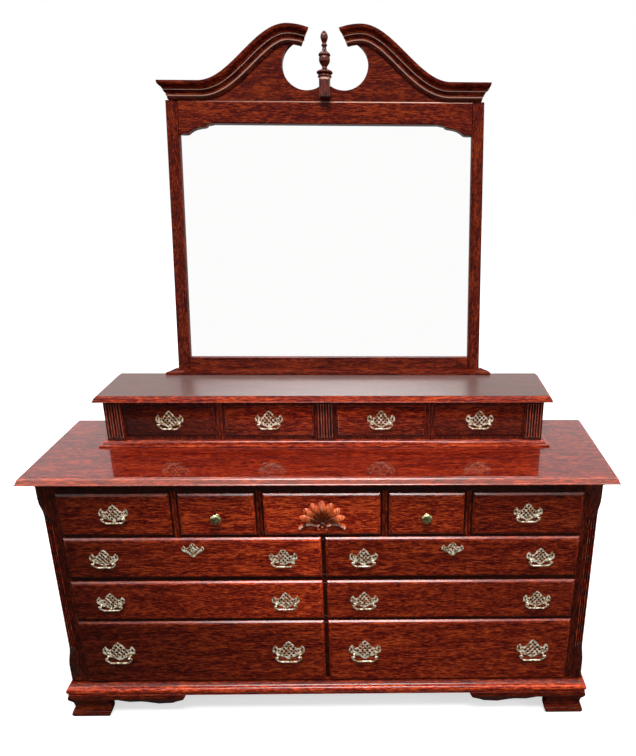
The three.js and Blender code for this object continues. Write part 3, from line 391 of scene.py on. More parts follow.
# The gallery: a low cherry carcass glued on the back of the top, on a moulded base, with fluted pilasters
# planted at its ends and middle. Its own top has an ogee edge and a duller, hazy lacquer.
base_line = flowing([
    (0, 0.97, 1), (0.1, 1), (0.3, 0.97), (0.42, 0.8, 1), (0.45, 0.6, 1), (0.82, 0.47, 1), (0.914, 0.4175, 1),
    (0.93, 0.14, 1), (1, 0.12, 1),
])
base_foot = board_foot + board_height
base = moulded([
    (672 + out * 24, gallery_plane - out * 24, back_plane, base_foot + rise * 16) for rise, out in base_line
])
finished(set_in(base), "gallery_base_moulding", "case", ["gallery_base"], cherry_across, 1.3)
pilasters = {"left": -644.5, "middle": 0, "right": 644.5}
flutes, flute_radius = (-16.5, 0, 16.5), 5
carcass = as_drawn("gallery_frame", 0.0006, 0.05)
# painted shade in the pilasters' flutes
tones_and_light = shaded(carcass, 0.4, [
    (abs(centre + x), 220, flute_radius) for centre in pilasters.values() for x in flutes
])
finished(carcass, "gallery_carcass", "case", ["gallery_frame"], cherry_up, tones_and_light)
for name, centre in pilasters.items():
    places = [(centre + x + side, 222.3) for x in flutes for side in (-4.4, 4.4)]
    lines = beads(places, 1.5, 897, 1008)
    # the beads are toned lighter than the carcass and given a faint painted highlight on their ridges
    finished(lines, f"pilaster_{name}_beads", "case", [], cherry_up, 1.2, worn=0.1)
cherry_hazed = wood("cherry_hazed", grain_across, cherry_stain, 0.33, 0.3, 0.3, (0.2, 0.15, 0.138))
gallery_edge = flowing([
    (0, -0.3, 1), (0.04, 0.6, 1), (0.1, 0.92), (0.18, 1, 1), (0.26, 0.92, 1), (0.5, 0.8), (0.74, 0.64, 1),
    (0.78, 0.5, 1), (0.9, 0.3), (1, 0.05, 1),
])
gallery_head = 1039
top = moulded([
    (679 + out * 16, 214 - out * 16, back_plane, gallery_head - 20 + rise * 20) for rise, out in gallery_edge
])
# the flat is toned darker and mixed toward the grey last colour of its wood: a painted reflection of the
# bright walls, over its hazy lacquer
flat = [corner.co.z > gallery_head - 1 for corner in top.verts]
tones_and_light, painted_highlights = [0.45 if here else 1.2 for here in flat], [0.55 if here else 0.0 for here in flat]
finished(
    set_in(top), "gallery_top_board", "case", ["gallery_top"], cherry_hazed, tones_and_light,
    worn=painted_highlights,
)

# The drawers: cherry fronts with a thumbnail lip that covers the opening, planted on open boxes of plain
# maple with grooved-in bottoms. A front's tone is graded from its left end to its right end: partly its own
# stain, partly a painted pool of light that darkens toward the ends of the case.
maple_stain = ((0.36, 0.24, 0.13), (0.5, 0.35, 0.2), (0.6, 0.45, 0.28))
maple = wood("maple", (7, 40, 60), maple_stain, 0.0, 0.6)
# each drawer's left, right, foot and head, and its tone at the left and at the right, stain and painted light
drawer_list = {
    "row1_1": (-765, -441, 671, 808, 0.4, 1), "row1_2": (-416, -195.5, 671, 808, 1.1, 1.4),
    "row1_3": (-170.5, 170.5, 671, 808, 1.8, 1.6), "row1_4": (195.5, 416, 671, 808, 1.3, 1.1),
    "row1_5": (441, 765, 671, 808, 0.8, 0.6),
    "row2_left": (-765, -6, 524, 662, 0.32, 1.7), "row2_right": (6, 765, 524, 662, 1, 0.65),
    "row3_left": (-765, -6, 373, 511, 0.35, 1.7), "row3_right": (6, 765, 373, 511, 1.1, 0.65),
    "row4_left": (-765, -6, 135, 365, 0.3, 0.9), "row4_right": (6, 765, 135, 365, 1.05, 0.8),
    "gallery_1": (-613, -339, 901, 1003, 0.16, 0.44), "gallery_2": (-309, -35, 901, 1003, 0.55, 1.1),
    "gallery_3": (35, 309, 901, 1003, 0.9, 0.7), "gallery_4": (339, 613, 901, 1003, 0.6, 0.4),
}
# the lip of a front: how far in from the drawer's side and how far out of the frame each point lies
lip_line = [(0, 0.3), (0, 1.2), (0.5, 2.1), (4.7, 6.1), (6.6, 6.9), (9, 7.1), (9.2, 8)]
top_lip_line = [(0, 0.3), (0, 1.2), (0.5, 2.5), (4.7, 5.8), (6.6, 6.7), (9, 7.1), (9.2, 8)]
gallery_lip_line = [(0, 0.3), (0, 1.2), (0.4, 1.9), (3.3, 4.6), (4.6, 5.1), (6.4, 5.2), (6.6, 6)]
wall, bottom, tongue_drop = 12, 7, 0.7
for name, (left, right, low, high, first, last) in drawer_list.items():
    small = name.startswith("gallery")
    plane, cover, depth = (gallery_plane, 6, 181) if small else (front_plane, 8, 378)
    side = cover + 1
    lip = gallery_lip_line if small else top_lip_line if name.startswith("row1") else lip_line
    rings = [(side, -14, tongue_drop), (side, 0.3, tongue_drop), *((inset, out, 0) for inset, out in lip)]
    front = drawn([
        [(left + inset, plane - out, low + (inset - drop)),
         (right - inset, plane - out, low + (inset - drop)),
         (right - inset, plane - out, high - inset), (left + inset, plane - out, high - inset)]
        for inset, out, drop in rings
    ])
    tones_and_light = []
    for corner in front.verts:
        x, y, z = corner.co
        graded = first + (last - first) * (x - left) / (right - left)
        # painted light on the lip: lighter on its upper half, where the light from above falls, darker on its
        # lower
        on_lip = plane - 7.5 < y < plane
        tones_and_light.append(graded * ((1.4 if z > (low + high) / 2 else 0.7) if on_lip else 1))
    body = f"drawer_{name}"
    finished(set_in(front), f"{body}_front", body, [body], cherry_across, tones_and_light)
    box = bmesh.new()
    bmesh.ops.create_cube(box, size=1)
    low_corner = Vector((left + side, plane + 13.5, low + cover + 0.3))
    high_corner = Vector((right - side, plane + depth, high - side - 14))
    for corner in box.verts:
        corner.co = [high_corner[i] if corner.co[i] > 0 else low_corner[i] for i in range(3)]
    rim = max(box.faces, key=lambda face: face.calc_center_median().z)
    bmesh.ops.inset_region(box, faces=[rim], thickness=wall)
    well = bmesh.ops.extrude_face_region(box, geom=[rim])["geom"]
    bmesh.ops.delete(box, geom=[rim], context="FACES_ONLY")
    for corner in well:
        if isinstance(corner, bmesh.types.BMVert):
            corner.co.z = low + cover + 0.3 + bottom
    bmesh.ops.recalc_face_normals(box, faces=box.faces)
    eased(box, 1, 20)
    finished(set_in(box), f"{body}_box", body, [body], maple)

# The pulls: a cast bat-wing plate pierced with a lattice, two turned posts through it, and a bail that
# swings on pins in the posts. All of it is polished brass under lacquer, darker in patches where its film
# lies.


def metal(name, colour, film_colour, roughness, bare):
    """Polished brass under lacquer. bare is how far it shines as naked metal through its film."""
    material, shader, node, link = new_material(name)
    place = node("ShaderNodeTexCoord")
    film = node("ShaderNodeTexNoise", Scale=120, Detail=3)
    link(place, "Object", film, "Vector")
    mix = node("ShaderNodeValToRGB")
    for stop, where, shade in zip(mix.color_ramp.elements, (0.45, 0.56), (film_colour, colour)):
        stop.position = where
        stop.color = (*shade, 1)
    link(film, "Fac", mix, "Fac")
    link(mix, "Color", shader, "Base Color")
    dents = node("ShaderNodeBump", Strength=0.3, Distance=0.0003)
    link(film, "Fac", dents, "Height")
    link(dents, "Normal", shader, "Normal")
    shader.inputs["Metallic"].default_value = bare
    shader.inputs["Roughness"].default_value = roughness
    return material


brass = metal("brass", (1.0, 0.95, 0.78), (0.32, 0.22, 0.1), 0.22, 0.2)
# width and height of the plate, how far apart its posts stand, how far below its middle and how far out
# the bail's pins are, how far the bail hangs, the radius of its wire and of the posts' heads
small_pull = dict(width=85, height=66, boring=57, low=8, reach=12, drop=18, wire=2.6, head=4)
large_pull = dict(width=101, height=80, boring=68, low=12, reach=14, drop=24, wire=2.9, head=4.8)
# the right half of the plate's outline from its crown to its wing and, for a pull and for a key, its foot
wing_edge = [
    (0, 1, 1), (0.1, 0.9), (0.19, 0.82), (0.2, 0.74, 1), (0.3, 0.66), (0.36, 0.5, 1), (0.43, 0.36),
    (0.55, 0.3, 1), (0.62, 0.27), (0.7, 0.38), (0.8, 0.6), (0.87, 0.5), (0.97, 0.35), (1, 0.18),
    (0.97, -0.06), (0.86, -0.14, 1), (0.8, -0.22),
]
pull_foot = [
    (0.74, -0.32, 1), (0.66, -0.37), (0.5, -0.41), (0.36, -0.48, 1), (0.24, -0.53), (0.14, -0.64),
    (0.07, -0.72), (0, -0.66, 1),
]
key_foot = [(0.7, -0.3, 1), (0.56, -0.4), (0.44, -0.42, 1), (0.32, -0.62), (0.22, -0.82), (0, -1, 1)]
# the small plate's openings: across and up from its middle, half width, half height, lean, kept beside a key
openings = [
    (0, 24, 4.3, 5.2, 0, True), (6.3, 16.4, 4.4, 5.4, 0, True), (0, 8.8, 4.5, 5.4, 0, False),
    (12.5, 8.8, 4.5, 5.4, 0, True), (6.3, 1.3, 4.5, 5.4, 0, False), (18.8, 1.3, 4.5, 5.4, 0, True),
    (0, -6.2, 4.4, 5.2, 0, False), (12.5, -5.6, 4.3, 4.8, 0, True), (6.2, -12.8, 3.9, 4.2, 0, True),
    (26.6, 3.6, 3, 3.8, 0, True), (35.8, 6.6, 3.2, 6.6, -12, True),
]
keyhole_line = [(-2.9, 2), (-1.5, 4.8), (1.5, 4.8), (2.9, 2), (1.4, -1), (1.4, -7), (-1.4, -7), (-1.4, -1)]
plate_front = -2.2


def plate(width, height, face, x, z, keyhole=False):
    """A pierced plate, flat on the drawer front whose face is at that y."""
    shape = bmesh.new()
    edge_line = flowing(wing_edge + (key_foot if keyhole else pull_foot), 3)
    half = [(a * width / 2, b * height / 2) for a, b in edge_line]
    outline = half + [(-a, b) for a, b in reversed(half[1:-1])]
    holes = []
    for across, up, half_width, half_height, turn, beside_key in openings:
        if keyhole and not beside_key:
            continue
        lean = math.radians(turn)
        for way in (-1, 1) if across else (1,):
            corners = []
            for i in range(8):
                bulge = 1 if i % 2 == 0 else 0.82
                a = half_width * bulge * math.cos(math.pi * i / 4)
                b = half_height * bulge * math.sin(math.pi * i / 4)
                corners.append((
                    way * (across + a * math.cos(lean) - b * math.sin(lean)) * width / small_pull["width"],
                    (up + a * math.sin(lean) + b * math.cos(lean)) * height / small_pull["height"],
                ))
            holes.append(corners)
    if keyhole:
        holes.append(keyhole_line)
    edges = []
    for loop in [outline, *holes]:
        corners = [shape.verts.new((a, 0, b)) for a, b in loop]
        edges += [shape.edges.new((corners[i - 1], corners[i])) for i in range(len(corners))]
    bmesh.ops.triangle_fill(shape, use_beauty=True, use_dissolve=False, edges=edges)
    grown = bmesh.ops.extrude_face_region(shape, geom=shape.faces[:])["geom"]
    for corner in grown:
        if isinstance(corner, bmesh.types.BMVert):
            corner.co.y = plate_front
    bmesh.ops.recalc_face_normals(shape, faces=shape.faces)
    rounded(shape, [
        edge for edge in shape.edges
        if edge.calc_face_angle(0) > 1 and all(corner.co.y < 0.9 * plate_front for corner in edge.verts)
    ], 1.0, 3)
    bmesh.ops.translate(shape, verts=shape.verts, vec=(x, face, z))
    return shape


def spun(line, steps):
    """A turned piece: a line of (radius, length out of the face) spun round the axis that leaves the face."""
    shape = bmesh.new()
    corners = [shape.verts.new((radius, -out, 0)) for radius, out in line]
    edges = [shape.edges.new(pair) for pair in zip(corners, corners[1:])]
    bmesh.ops.spin(
        shape, geom=corners + edges, cent=(0, 0, 0), axis=(0, 1, 0), angle=math.tau, steps=steps,
        use_merge=True,
    )
    bmesh.ops.remove_doubles(shape, verts=shape.verts, dist=0.001)
    bmesh.ops.recalc_face_normals(shape, faces=shape.faces)
    return shape


def bail(pull):
    """The bail as one bent wire, thin at its pins and swelling along its bar."""
    pin = 1.6
    shoulder = pull["boring"] / 2 + 0.75 * pull["head"] + 2.6
    drop = pull["drop"] - 1
    bar = 0.24 * pull["width"]
    back = pull["reach"] - pull["wire"] - 4
    half = [
        (pull["boring"] / 2 - pull["head"] / 2, 0, 0), (shoulder - 1.4, 0, 0), (shoulder, 0.1 * back, -2),
        (shoulder - 0.6, 0.35 * back, -0.35 * drop), (0.45 * shoulder + 0.55 * bar, 0.8 * back, -0.8 * drop),
        (bar, back, -drop), (bar / 3, back, -drop),
    ]
    points = [Vector(point) for point in half] + [Vector((-x, y, z)) for x, y, z in reversed(half)]
    path = []
    for i in range(len(points) - 1):
        a, b = points[max(i - 1, 0)], points[i]
        c, d = points[i + 1], points[min(i + 2, len(points) - 1)]
        leaving, arriving = 0.4 * (c - a), 0.4 * (d - b)
        for t in [step / 5 for step in range(5)]:
            path.append(
                (2 * t ** 3 - 3 * t ** 2 + 1) * b + (t ** 3 - 2 * t ** 2 + t) * leaving
                + (3 * t ** 2 - 2 * t ** 3) * c + (t ** 3 - t ** 2) * arriving
            )
    path.append(points[-1])
    last = len(path) - 1
    flat = Vector((0, 1, 0))
    rings = []
    for i, point in enumerate(path):
        way = (path[min(i + 1, last)] - path[max(i - 1, 0)]).normalized()
        other = way.cross(flat).normalized()
        level = min(1, max(0, -point.z / drop))
        radius = pin + (pull["wire"] - pin) * (0.55 + 0.45 * level ** 2) * min(1, i / 6, (last - i) / 6)
        rings.append([
            point + radius * (math.cos(turn) * flat + math.sin(turn) * other)
            for turn in [math.tau * k / 10 for k in range(10)]
        ])
    return drawn(rings)


post_line = flowing([
    (0, -1, 1), (1.1, -1, 1), (1.1, 0.12, 1), (1.25, 0.16), (1.1, 0.22, 1), (0.62, 0.3), (0.55, 0.5),
    (0.6, 0.62, 1), (0.92, 0.68), (1.12, 0.8), (0.98, 0.93), (0.5, 1), (0, 1, 1),
], 3)
case_face, gallery_face = front_plane - 8, gallery_plane - 6
pull_list = [
    ("row1_1", "row1_1", small_pull, -603, 743.5, case_face),
    ("row1_2", "row1_5", small_pull, 603, 743.5, case_face),
]
for row, pull, height in ((2, small_pull, 593), (3, small_pull, 440), (4, large_pull, 252)):
    for i, x in enumerate((-651, -120, 120, 651)):
        half = "left" if x < 0 else "right"
        pull_list.append((f"row{row}_{i + 1}", f"row{row}_{half}", pull, x, height, case_face))
for i, x in enumerate((-476, -172, 172, 476)):
    pull_list.append((f"gallery_{i + 1}", f"gallery_{i + 1}", small_pull, x, 954, gallery_face))
for name, drawer, pull, x, z, face in pull_list:
    mount = plate(pull["width"], pull["height"], face, x, z)
    girth, length = 0.66 * pull["head"], pull["reach"] + pull["head"]
    for way in (-1, 1):
        turned = spun([(radius * girth, max(out * length, -1)) for radius, out in post_line], 16)
        spot = (x + way * pull["boring"] / 2, face, z - pull["low"])
        bmesh.ops.translate(turned, verts=turned.verts, vec=spot)
        added(mount, turned)
    body = f"drawer_{drawer}"
    finished(set_in(mount), f"plate_{name}", body, [body], brass)
    swing = bail(pull)
    bmesh.ops.translate(swing, verts=swing.verts, vec=(x, face - pull["reach"], z - pull["low"]))
    finished(set_in(swing), f"bail_{name}_wire", f"bail_{name}", [f"bail_{name}"], brass, 1, 60)

# The escutcheons of the second row: a cast brass plate like the pulls' but smaller and pointed at its
# foot, sawn for a key, and pinned on each drawer over its lock.
for way, drawer in ((-1, "drawer_row2_left"), (1, "drawer_row2_right")):
    key_plate = plate(66, 47, case_face, way * 385.5, 623.5, keyhole=True)
    finished(set_in(key_plate), f"{drawer}_escutcheon", drawer, [drawer], brass)

# The knobs of the two narrow drawers: turned brass, screwed on from inside, and older and greener than
# the pulls.
old_brass = metal("old_brass", (0.75, 0.68, 0.34), (0.3, 0.28, 0.12), 0.2, 0.9)
knob_line = flowing([
    (0, -0.03, 1), (0.56, -0.03, 1), (0.56, 0.06), (0.48, 0.12), (0.36, 0.2), (0.34, 0.36), (0.5, 0.46, 1),
    (0.8, 0.52), (1, 0.72), (0.8, 0.92), (0.45, 0.99), (0, 1, 1),
])
knob_radius, knob_length = 16.75, 24
for drawer, x in (("drawer_row1_2", -305.75), ("drawer_row1_4", 305.75)):
    knob = spun([(radius * knob_radius, out * knob_length) for radius, out in knob_line], 32)
    bmesh.ops.translate(knob, verts=knob.verts, vec=(x, case_face, 735.5))
    finished(set_in(knob), f"{drawer}_knob", drawer, [drawer], old_brass)

# The shell on the middle drawer: seven lobes that fan out of a small volute, over two scrolled arms,
# carved from one piece of cherry and glued on.
shell = bmesh.new()
shell_middle, root, fan = 739.5, -24, 150  # its height, how far below it the lobes spring, degrees they span


def petal(length, width, relief, turn, waist):
    """One lobe: an egg with a long thin root, lying on the front and turned to its place in the fan."""
    lobe = bmesh.new()
    bmesh.ops.create_uvsphere(lobe, u_segments=20, v_segments=18, radius=1)
    for corner in lobe.verts:
        along = (corner.co.z + 1) / 2
        share = min(1, max(0, (along - 0.3) / 0.5))
        swell = waist + (1 - waist) * share * share * (3 - 2 * share)
        x, y, _ = corner.co
        corner.co = (x * width * swell, y * relief * (0.3 + 0.7 * swell), along * length)
    bmesh.ops.rotate(lobe, verts=lobe.verts, cent=(0, 0, 0), matrix=Matrix.Rotation(turn, 3, "Y"))
    bmesh.ops.translate(lobe, verts=lobe.verts, vec=(0, 0, root))
    return lobe


def curl(line):
    """A carved scroll through (x, z, radius), standing on the front."""
    rings = []
    for i, (x, z, radius) in enumerate(line):
        ahead, behind = line[min(i + 1, len(line) - 1)], line[max(i - 1, 0)]
        run = Vector((ahead[0] - behind[0], 0, ahead[1] - behind[1])).normalized()
        over = Vector((-run.z, 0, run.x))
        rings.append([
            Vector((x, 0, z)) + radius * (math.cos(turn) * over + math.sin(turn) * Vector((0, 2.6, 0)))
            for turn in [math.tau * k / 12 for k in range(12)]
        ])
    return drawn(rings)


for i in range(7):
    turn = math.radians(fan * (i / 6 - 0.5))
    aside = abs(math.sin(turn))
    added(shell, petal(71.5 * (1 - 0.04 * aside), 14.6, 10.5 - 3 * aside, turn, 0.14))
for i in range(6):
    turn = math.radians(fan * ((i + 0.5) / 6 - 0.5))
    added(shell, petal(54, 2.2, 9, turn, 0.7))
for way in (-1, 1):
    arm = [
        (15, -34, 3.2), (21, -30, 4.4), (30, -27, 4.9), (41, -27.5, 4.8), (52, -30.5, 4.6), (61, -35, 4.6),
        (66, -40, 4.4), (64, -45, 3.6), (59, -44, 2),
    ]
    added(shell, curl([(way * x, z, radius) for x, z, radius in arm]))
arch = [(-12, -46, 2.2), (-14, -39, 3.4), (-11, -31, 3.8), (-5, -24, 3.9), (0, -22, 3.9)]
added(shell, curl(arch + [(-x, z, radius) for x, z, radius in reversed(arch[:-1])]))
for x, z, radius in ((0, -38, 5), (-12.5, -46, 4.4), (12.5, -46, 4.4)):
    bead = bmesh.new()
    bmesh.ops.create_uvsphere(bead, u_segments=16, v_segments=10, radius=radius)
    bmesh.ops.scale(bead, verts=bead.verts, vec=(1, 1.5, 1))
    bmesh.ops.translate(bead, verts=bead.verts, vec=(x, 0, z))
    added(shell, bead)
bmesh.ops.translate(shell, verts=shell.verts, vec=(0, case_face, shell_middle))
bmesh.ops.bisect_plane(
    shell, geom=shell.verts[:] + shell.edges[:] + shell.faces[:], plane_co=(0, case_face + 1, 0),
    plane_no=(0, 1, 0), clear_outer=True,
)
carved_stain = ((0.2, 0.02, 0.006), (0.5, 0.085, 0.022), (0.75, 0.19, 0.06))
shell_wood = wood("shell_wood", grain_up, carved_stain, 1.0, 0.25)
fan_foot = 709  # over it lie the lobes, under it the volute and the arms
tones_and_light, painted_highlights = [], []
for corner in shell.verts:
    x, y, z = corner.co
    # painted shade at the lobes' roots and painted light toward their tips, with painted highlights on the
    # most proud parts of the lobes and arms
    if z > fan_foot:
        away = math.hypot(x, z - (shell_middle + root))
        tones_and_light.append(0.25 + 1.5 * min(1, max(0, away - 26) / 26))
        painted_highlights.append(0.9 * min(1, max(0, 8 - y) / 2))
    else:
        tones_and_light.append(1.4)
        painted_highlights.append(0.9 * min(1, max(0, 10 - y) / 4))
middle_drawer = "drawer_row1_3"
finished(
    set_in(shell), "carved_shell", middle_drawer, [middle_drawer], shell_wood, tones_and_light, 50,
    painted_highlights,
)

# The mirror: silvered glass in a cherry frame that leans back, with a bead round the glass, a serpentine
# bracket in each upper corner, and a moulded sill planed flat on the gallery. It has a satin lacquer.
lean = math.radians(11)
onto_mirror = (
    Matrix.Translation((0, (436 + plan_shift) * mm, gallery_head * mm)) @ Matrix.Rotation(-lean, 4, "X")
    @ Matrix.Scale(mm, 4)
)


def leaned(shape):
    """Brings a shape from the mirror's own millimetres, up the lean, to its place."""
    bmesh.ops.transform(shape, verts=shape.verts, matrix=onto_mirror)
    return shape


satin_up = wood("satin_up", grain_up, cherry_stain, 0.1, 0.4)
satin_across = wood("satin_across", grain_across, cherry_stain, 0.1, 0.4)
for node, cherry, tone in (
    ("mirror_stile_left", satin_up, 0.42), ("mirror_stile_right", satin_up, 0.42),
    ("mirror_bottom_rail", satin_across, 0.43),
):
    finished(as_drawn(node, 0.0006), f"{node}_wood", "case", [node], cherry, tone, 40)
bracket_line = flowing([
    (0, 0, 1), (0.16, 0.0), (0.24, 0.06), (0.34, 0.3), (0.46, 0.5), (0.62, 0.62), (0.74, 0.68),
    (0.8, 0.8, 1), (0.81, 0.88, 1), (0.9, 0.93), (1, 1, 1),
])
rail_half, rail_head, bead = 457.2, 849, 4.5
under = [(rail_half - run * 107, 750 + rise * 32) for run, rise in bracket_line]
outline = [(-rail_half, rail_head), *[(-x, z) for x, z in under], *reversed(under), (rail_half, rail_head)]
rail = drawn([[(x, y, z) for x, z in outline] for y in (0, 17)])
rounded(rail, [
    edge for edge in rail.edges
    if all(corner.co.y < 1 and corner.co.z < 790 for corner in edge.verts) and edge.calc_length() > 0.01
], bead, 4)
rounded(rail, [
    edge for edge in rail.edges
    if all(corner.co.y < 1 and corner.co.z > rail_head - 1 for corner in edge.verts)
], bead, 4)
# a painted highlight along the rounded top arris
painted_highlights = [
    1.0 if corner.co.y < bead + 0.2 and corner.co.z > rail_head - bead - 0.2 else 0.0 for corner in rail.verts
]
behind = drawn([
    [(-rail_half, y, 800.3), (rail_half, y, 800.3), (rail_half, y, rail_head), (-rail_half, y, rail_head)]
    for y in (16, 25)
])
painted_highlights += [0.0] * len(behind.verts)
finished(
    leaned(added(rail, behind)), "mirror_top_rail_wood", "case", ["mirror_top_rail"], satin_across,
    0.5, 40, painted_highlights,
)
silvered, shader = new_material("silvered_glass")[:2]
shader.inputs["Base Color"].default_value = (0.97, 0.97, 0.965, 1)
shader.inputs["Metallic"].default_value = 1
shader.inputs["Roughness"].default_value = 0.015
finished(as_drawn("mirror_glass", 0.001), "glass", "case", ["mirror_glass"], silvered)

# The pediment: a cherry board sawn to two rising curves with a round opening under each scroll, and the
# crown moulding run up each swan neck, mitred at the corner and returned along the side.
swan_start, crest, tip = 388, 112, 57  # where, out from the middle, a neck starts, is highest and ends
swan_rise, crown_top, board_half, under_crown = 164, 900, 482, 5.1


def swan_height(x):
    """How far the swan neck's top edge has risen at x."""
    share = (swan_start - x) / (swan_start - crest)
    share = max(0, share if share <= 1 else 1 + 0.72 * (share - 1))
    return swan_rise * (1 - math.cos(math.pi * share)) / 2


opening_x, opening_z, opening_radius, opening_tip = 58, 956, 75, 64
right = [(board_half, rail_head + 0.3), (board_half, crown_top - under_crown)]
right += [
    (x, crown_top + swan_height(x) - under_crown)
    for x in [swan_start + (opening_tip - swan_start) * i / 40 for i in range(41)]
]
start = math.degrees(math.acos((opening_tip - opening_x) / opening_radius))
end = -180 + math.degrees(math.acos(opening_x / opening_radius))
for turn in [math.radians(start + (end - start) * i / 48) for i in range(49)]:
    right.append((opening_x + opening_radius * math.cos(turn), opening_z + opening_radius * math.sin(turn)))
outline = [*[(-x, z) for x, z in right], *reversed(right[:-1])]
board = drawn([[(x, y, z) for x, z in outline] for y in (2, 25)])
finished(
    leaned(board), "pediment_board_wood", "case", ["pediment_board"], satin_across, 0.4, 40,
)
# the crown's line: how far out it stands and how far down it has come, both as shares of its depth
crown_line = flowing([
    (0, 0, 1), (1, 0, 1), (1, 0.08, 1), (0.97, 0.15), (0.88, 0.23), (0.67, 0.31), (0.59, 0.38),
    (0.57, 0.42, 1), (0.5, 0.42, 1), (0.5, 0.46, 1), (0.49, 0.485, 1), (0.45, 0.55), (0.36, 0.61),
    (0.27, 0.64, 1), (0.27, 0.74, 1), (0.27, 0.755, 1), (0.24, 0.79, 1), (0.2, 0.82, 1), (0.17, 0.84, 1),
    (0.17, 0.91, 1), (0.13, 0.96), (0.07, 1, 1), (0, 1, 1),
], 3)
profile = [(out * 30 + 0.3 if out else -1.9, down * 51) for out, down in crown_line]
for way, side in ((1, "right"), (-1, "left")):
    rings = [[(board_half + out, 25, crown_top - down) for out, down in profile]]
    rings.append([(board_half + out, -out, crown_top - down) for out, down in profile])
    for i in range(49):
        x = swan_start + (tip - swan_start) * i / 48
        slope = (swan_height(x - 0.4) - swan_height(x + 0.4)) / 0.8
        length = math.hypot(1, slope)
        slant = 0.4 if i == 48 else 0
        rings.append([
            (x - (down * slope + slant * out) / length, -out,
             crown_top + swan_height(x) + (slant * out * slope - down) / length)
            for out, down in profile
        ])
    rings = [[(way * x, y, z) for x, y, z in ring] for ring in rings]
    neck = drawn(rings)
    # painted shade in the quirks of the moulding, and a painted highlight on the two fillets beside them
    tones_and_light, painted_highlights = [], []
    for corner in neck.verts:
        place = next(
            i for ring in rings for i, spot in enumerate(ring) if (corner.co - Vector(spot)).length < 0.01
        )
        down = crown_line[place][1]
        tones_and_light.append(0.1 if 0.48 < down < 0.56 or 0.835 < down < 0.95 else 0.42)
        painted_highlights.append(0.6 if 0.425 < down < 0.47 or 0.75 < down < 0.8 else 0.0)
    node = f"swan_neck_{side}"
    finished(leaned(neck), f"{node}_moulding", "case", [node], satin_across, tones_and_light, 30, painted_highlights)

# The finial: an urn and a flame, turned in one piece of cherry, on a square plinth that is fluted on its
# front and glued to the board between the two openings.
finial_line = flowing([
    (0, 0, 1), (0.7, 0, 1), (0.72, 0.02), (0.7, 0.045, 1), (0.84, 0.06), (0.86, 0.085), (0.8, 0.105, 1),
    (0.62, 0.115, 1), (0.9, 0.13), (1, 0.15), (0.97, 0.172), (0.8, 0.19), (0.5, 0.215), (0.32, 0.25),
    (0.34, 0.28), (0.5, 0.32), (0.66, 0.37), (0.7, 0.42), (0.65, 0.465), (0.6, 0.478, 1), (0.72, 0.49),
    (0.75, 0.51), (0.68, 0.535), (0.48, 0.565), (0.31, 0.6), (0.25, 0.64), (0.26, 0.67), (0.36, 0.69),
    (0.34, 0.715), (0.25, 0.735), (0.3, 0.765), (0.43, 0.82), (0.47, 0.87), (0.4, 0.92), (0.2, 0.975),
    (0, 1, 1),
], 3)
urn_radius, urn_height = 24.8, 144
urn = spun([(radius * urn_radius, height * urn_height) for radius, height in finial_line], 40)
# a painted highlight on the ring at the urn's foot
painted_highlights = [0.8 if corner.co.y > -0.05 * urn_height else 0.0 for corner in urn.verts]
bmesh.ops.rotate(urn, verts=urn.verts, cent=(0, 0, 0), matrix=Matrix.Rotation(-math.pi / 2, 3, "X"))
bmesh.ops.translate(urn, verts=urn.verts, vec=(0, -16.8, 905))
block_half, block_front, block_back = 16.5, -33, 2.2
section = [(-block_half, block_back), (-block_half, block_front)]
for centre in (-9.3, 0, 9.3):
    section += [
        (centre + 3.2 * math.cos(turn), block_front + 2.2 * math.sin(turn))
        for turn in [math.pi - math.pi * i / 6 for i in range(7)]
    ]
section += [(block_half, block_front), (block_half, block_back)]
block = drawn([[(x, y, z) for x, y in section] for z in (856, 906)])
painted_highlights = [0.0] * len(block.verts) + painted_highlights
finished(
    leaned(added(block, urn)), "finial_turning", "case", ["finial"], cherry_up, 0.35, 40,
    painted_highlights,
)

# The studio's floor: plain white paper that glows a little more the further out it lies and keeps a soft
# shadow. The light that bounces off it finds dark floor boards, so the lacquer stays deep.
floor_shape = bmesh.new()
bmesh.ops.create_grid(floor_shape, x_segments=1, y_segments=1, size=14)
floor_mesh = bpy.data.meshes.new("floor")
floor_shape.to_mesh(floor_mesh)
floor_shape.free()
floor = bpy.data.objects.new("floor", floor_mesh)
bpy.context.scene.collection.objects.link(floor)
paper = bpy.data.materials.new("paper")
paper.use_nodes = True
paper.node_tree.nodes.clear()
node, link = tree_tools(paper.node_tree)
path = node("ShaderNodeLightPath")
output = node("ShaderNodeOutputMaterial")
choice = node("ShaderNodeMixShader")
white = node("ShaderNodeBsdfDiffuse", Color=(0.8, 0.8, 0.8, 1))
glow = node("ShaderNodeEmission")
place = node("ShaderNodeTexCoord")
reach = node("ShaderNodeVectorMath", [("operation", "LENGTH")])
paleness = node("ShaderNodeMapRange", From_Min=0.8, From_Max=2.4, To_Min=0.62, To_Max=1.0)
lit = node("ShaderNodeAddShader")
boards = node("ShaderNodeBsdfDiffuse", Color=(0.06, 0.055, 0.05, 1))
link(place, "Object", reach, 0)
link(reach, "Value", paleness, "Value")
link(paleness, "Result", glow, "Strength")
link(white, "BSDF", lit, 0)
link(glow, "Emission", lit, 1)
link(path, "Is Camera Ray", choice, "Fac")
link(boards, "BSDF", choice, 1)
link(lit, "Shader", choice, 2)
link(choice, "Shader", output, "Surface")
floor_mesh.materials.append(paper)

# The studio's walls: white where the camera looks. Only the lacquer, the brass and the glass mirror their
# shades and the bright band of window overhead, and everything else gets an even fill from them.
world = bpy.data.worlds.new("studio")
bpy.context.scene.world = world
world.use_nodes = True
world.node_tree.nodes.clear()
node, link = tree_tools(world.node_tree)
place = node("ShaderNodeTexCoord")
parts = node("ShaderNodeSeparateXYZ")


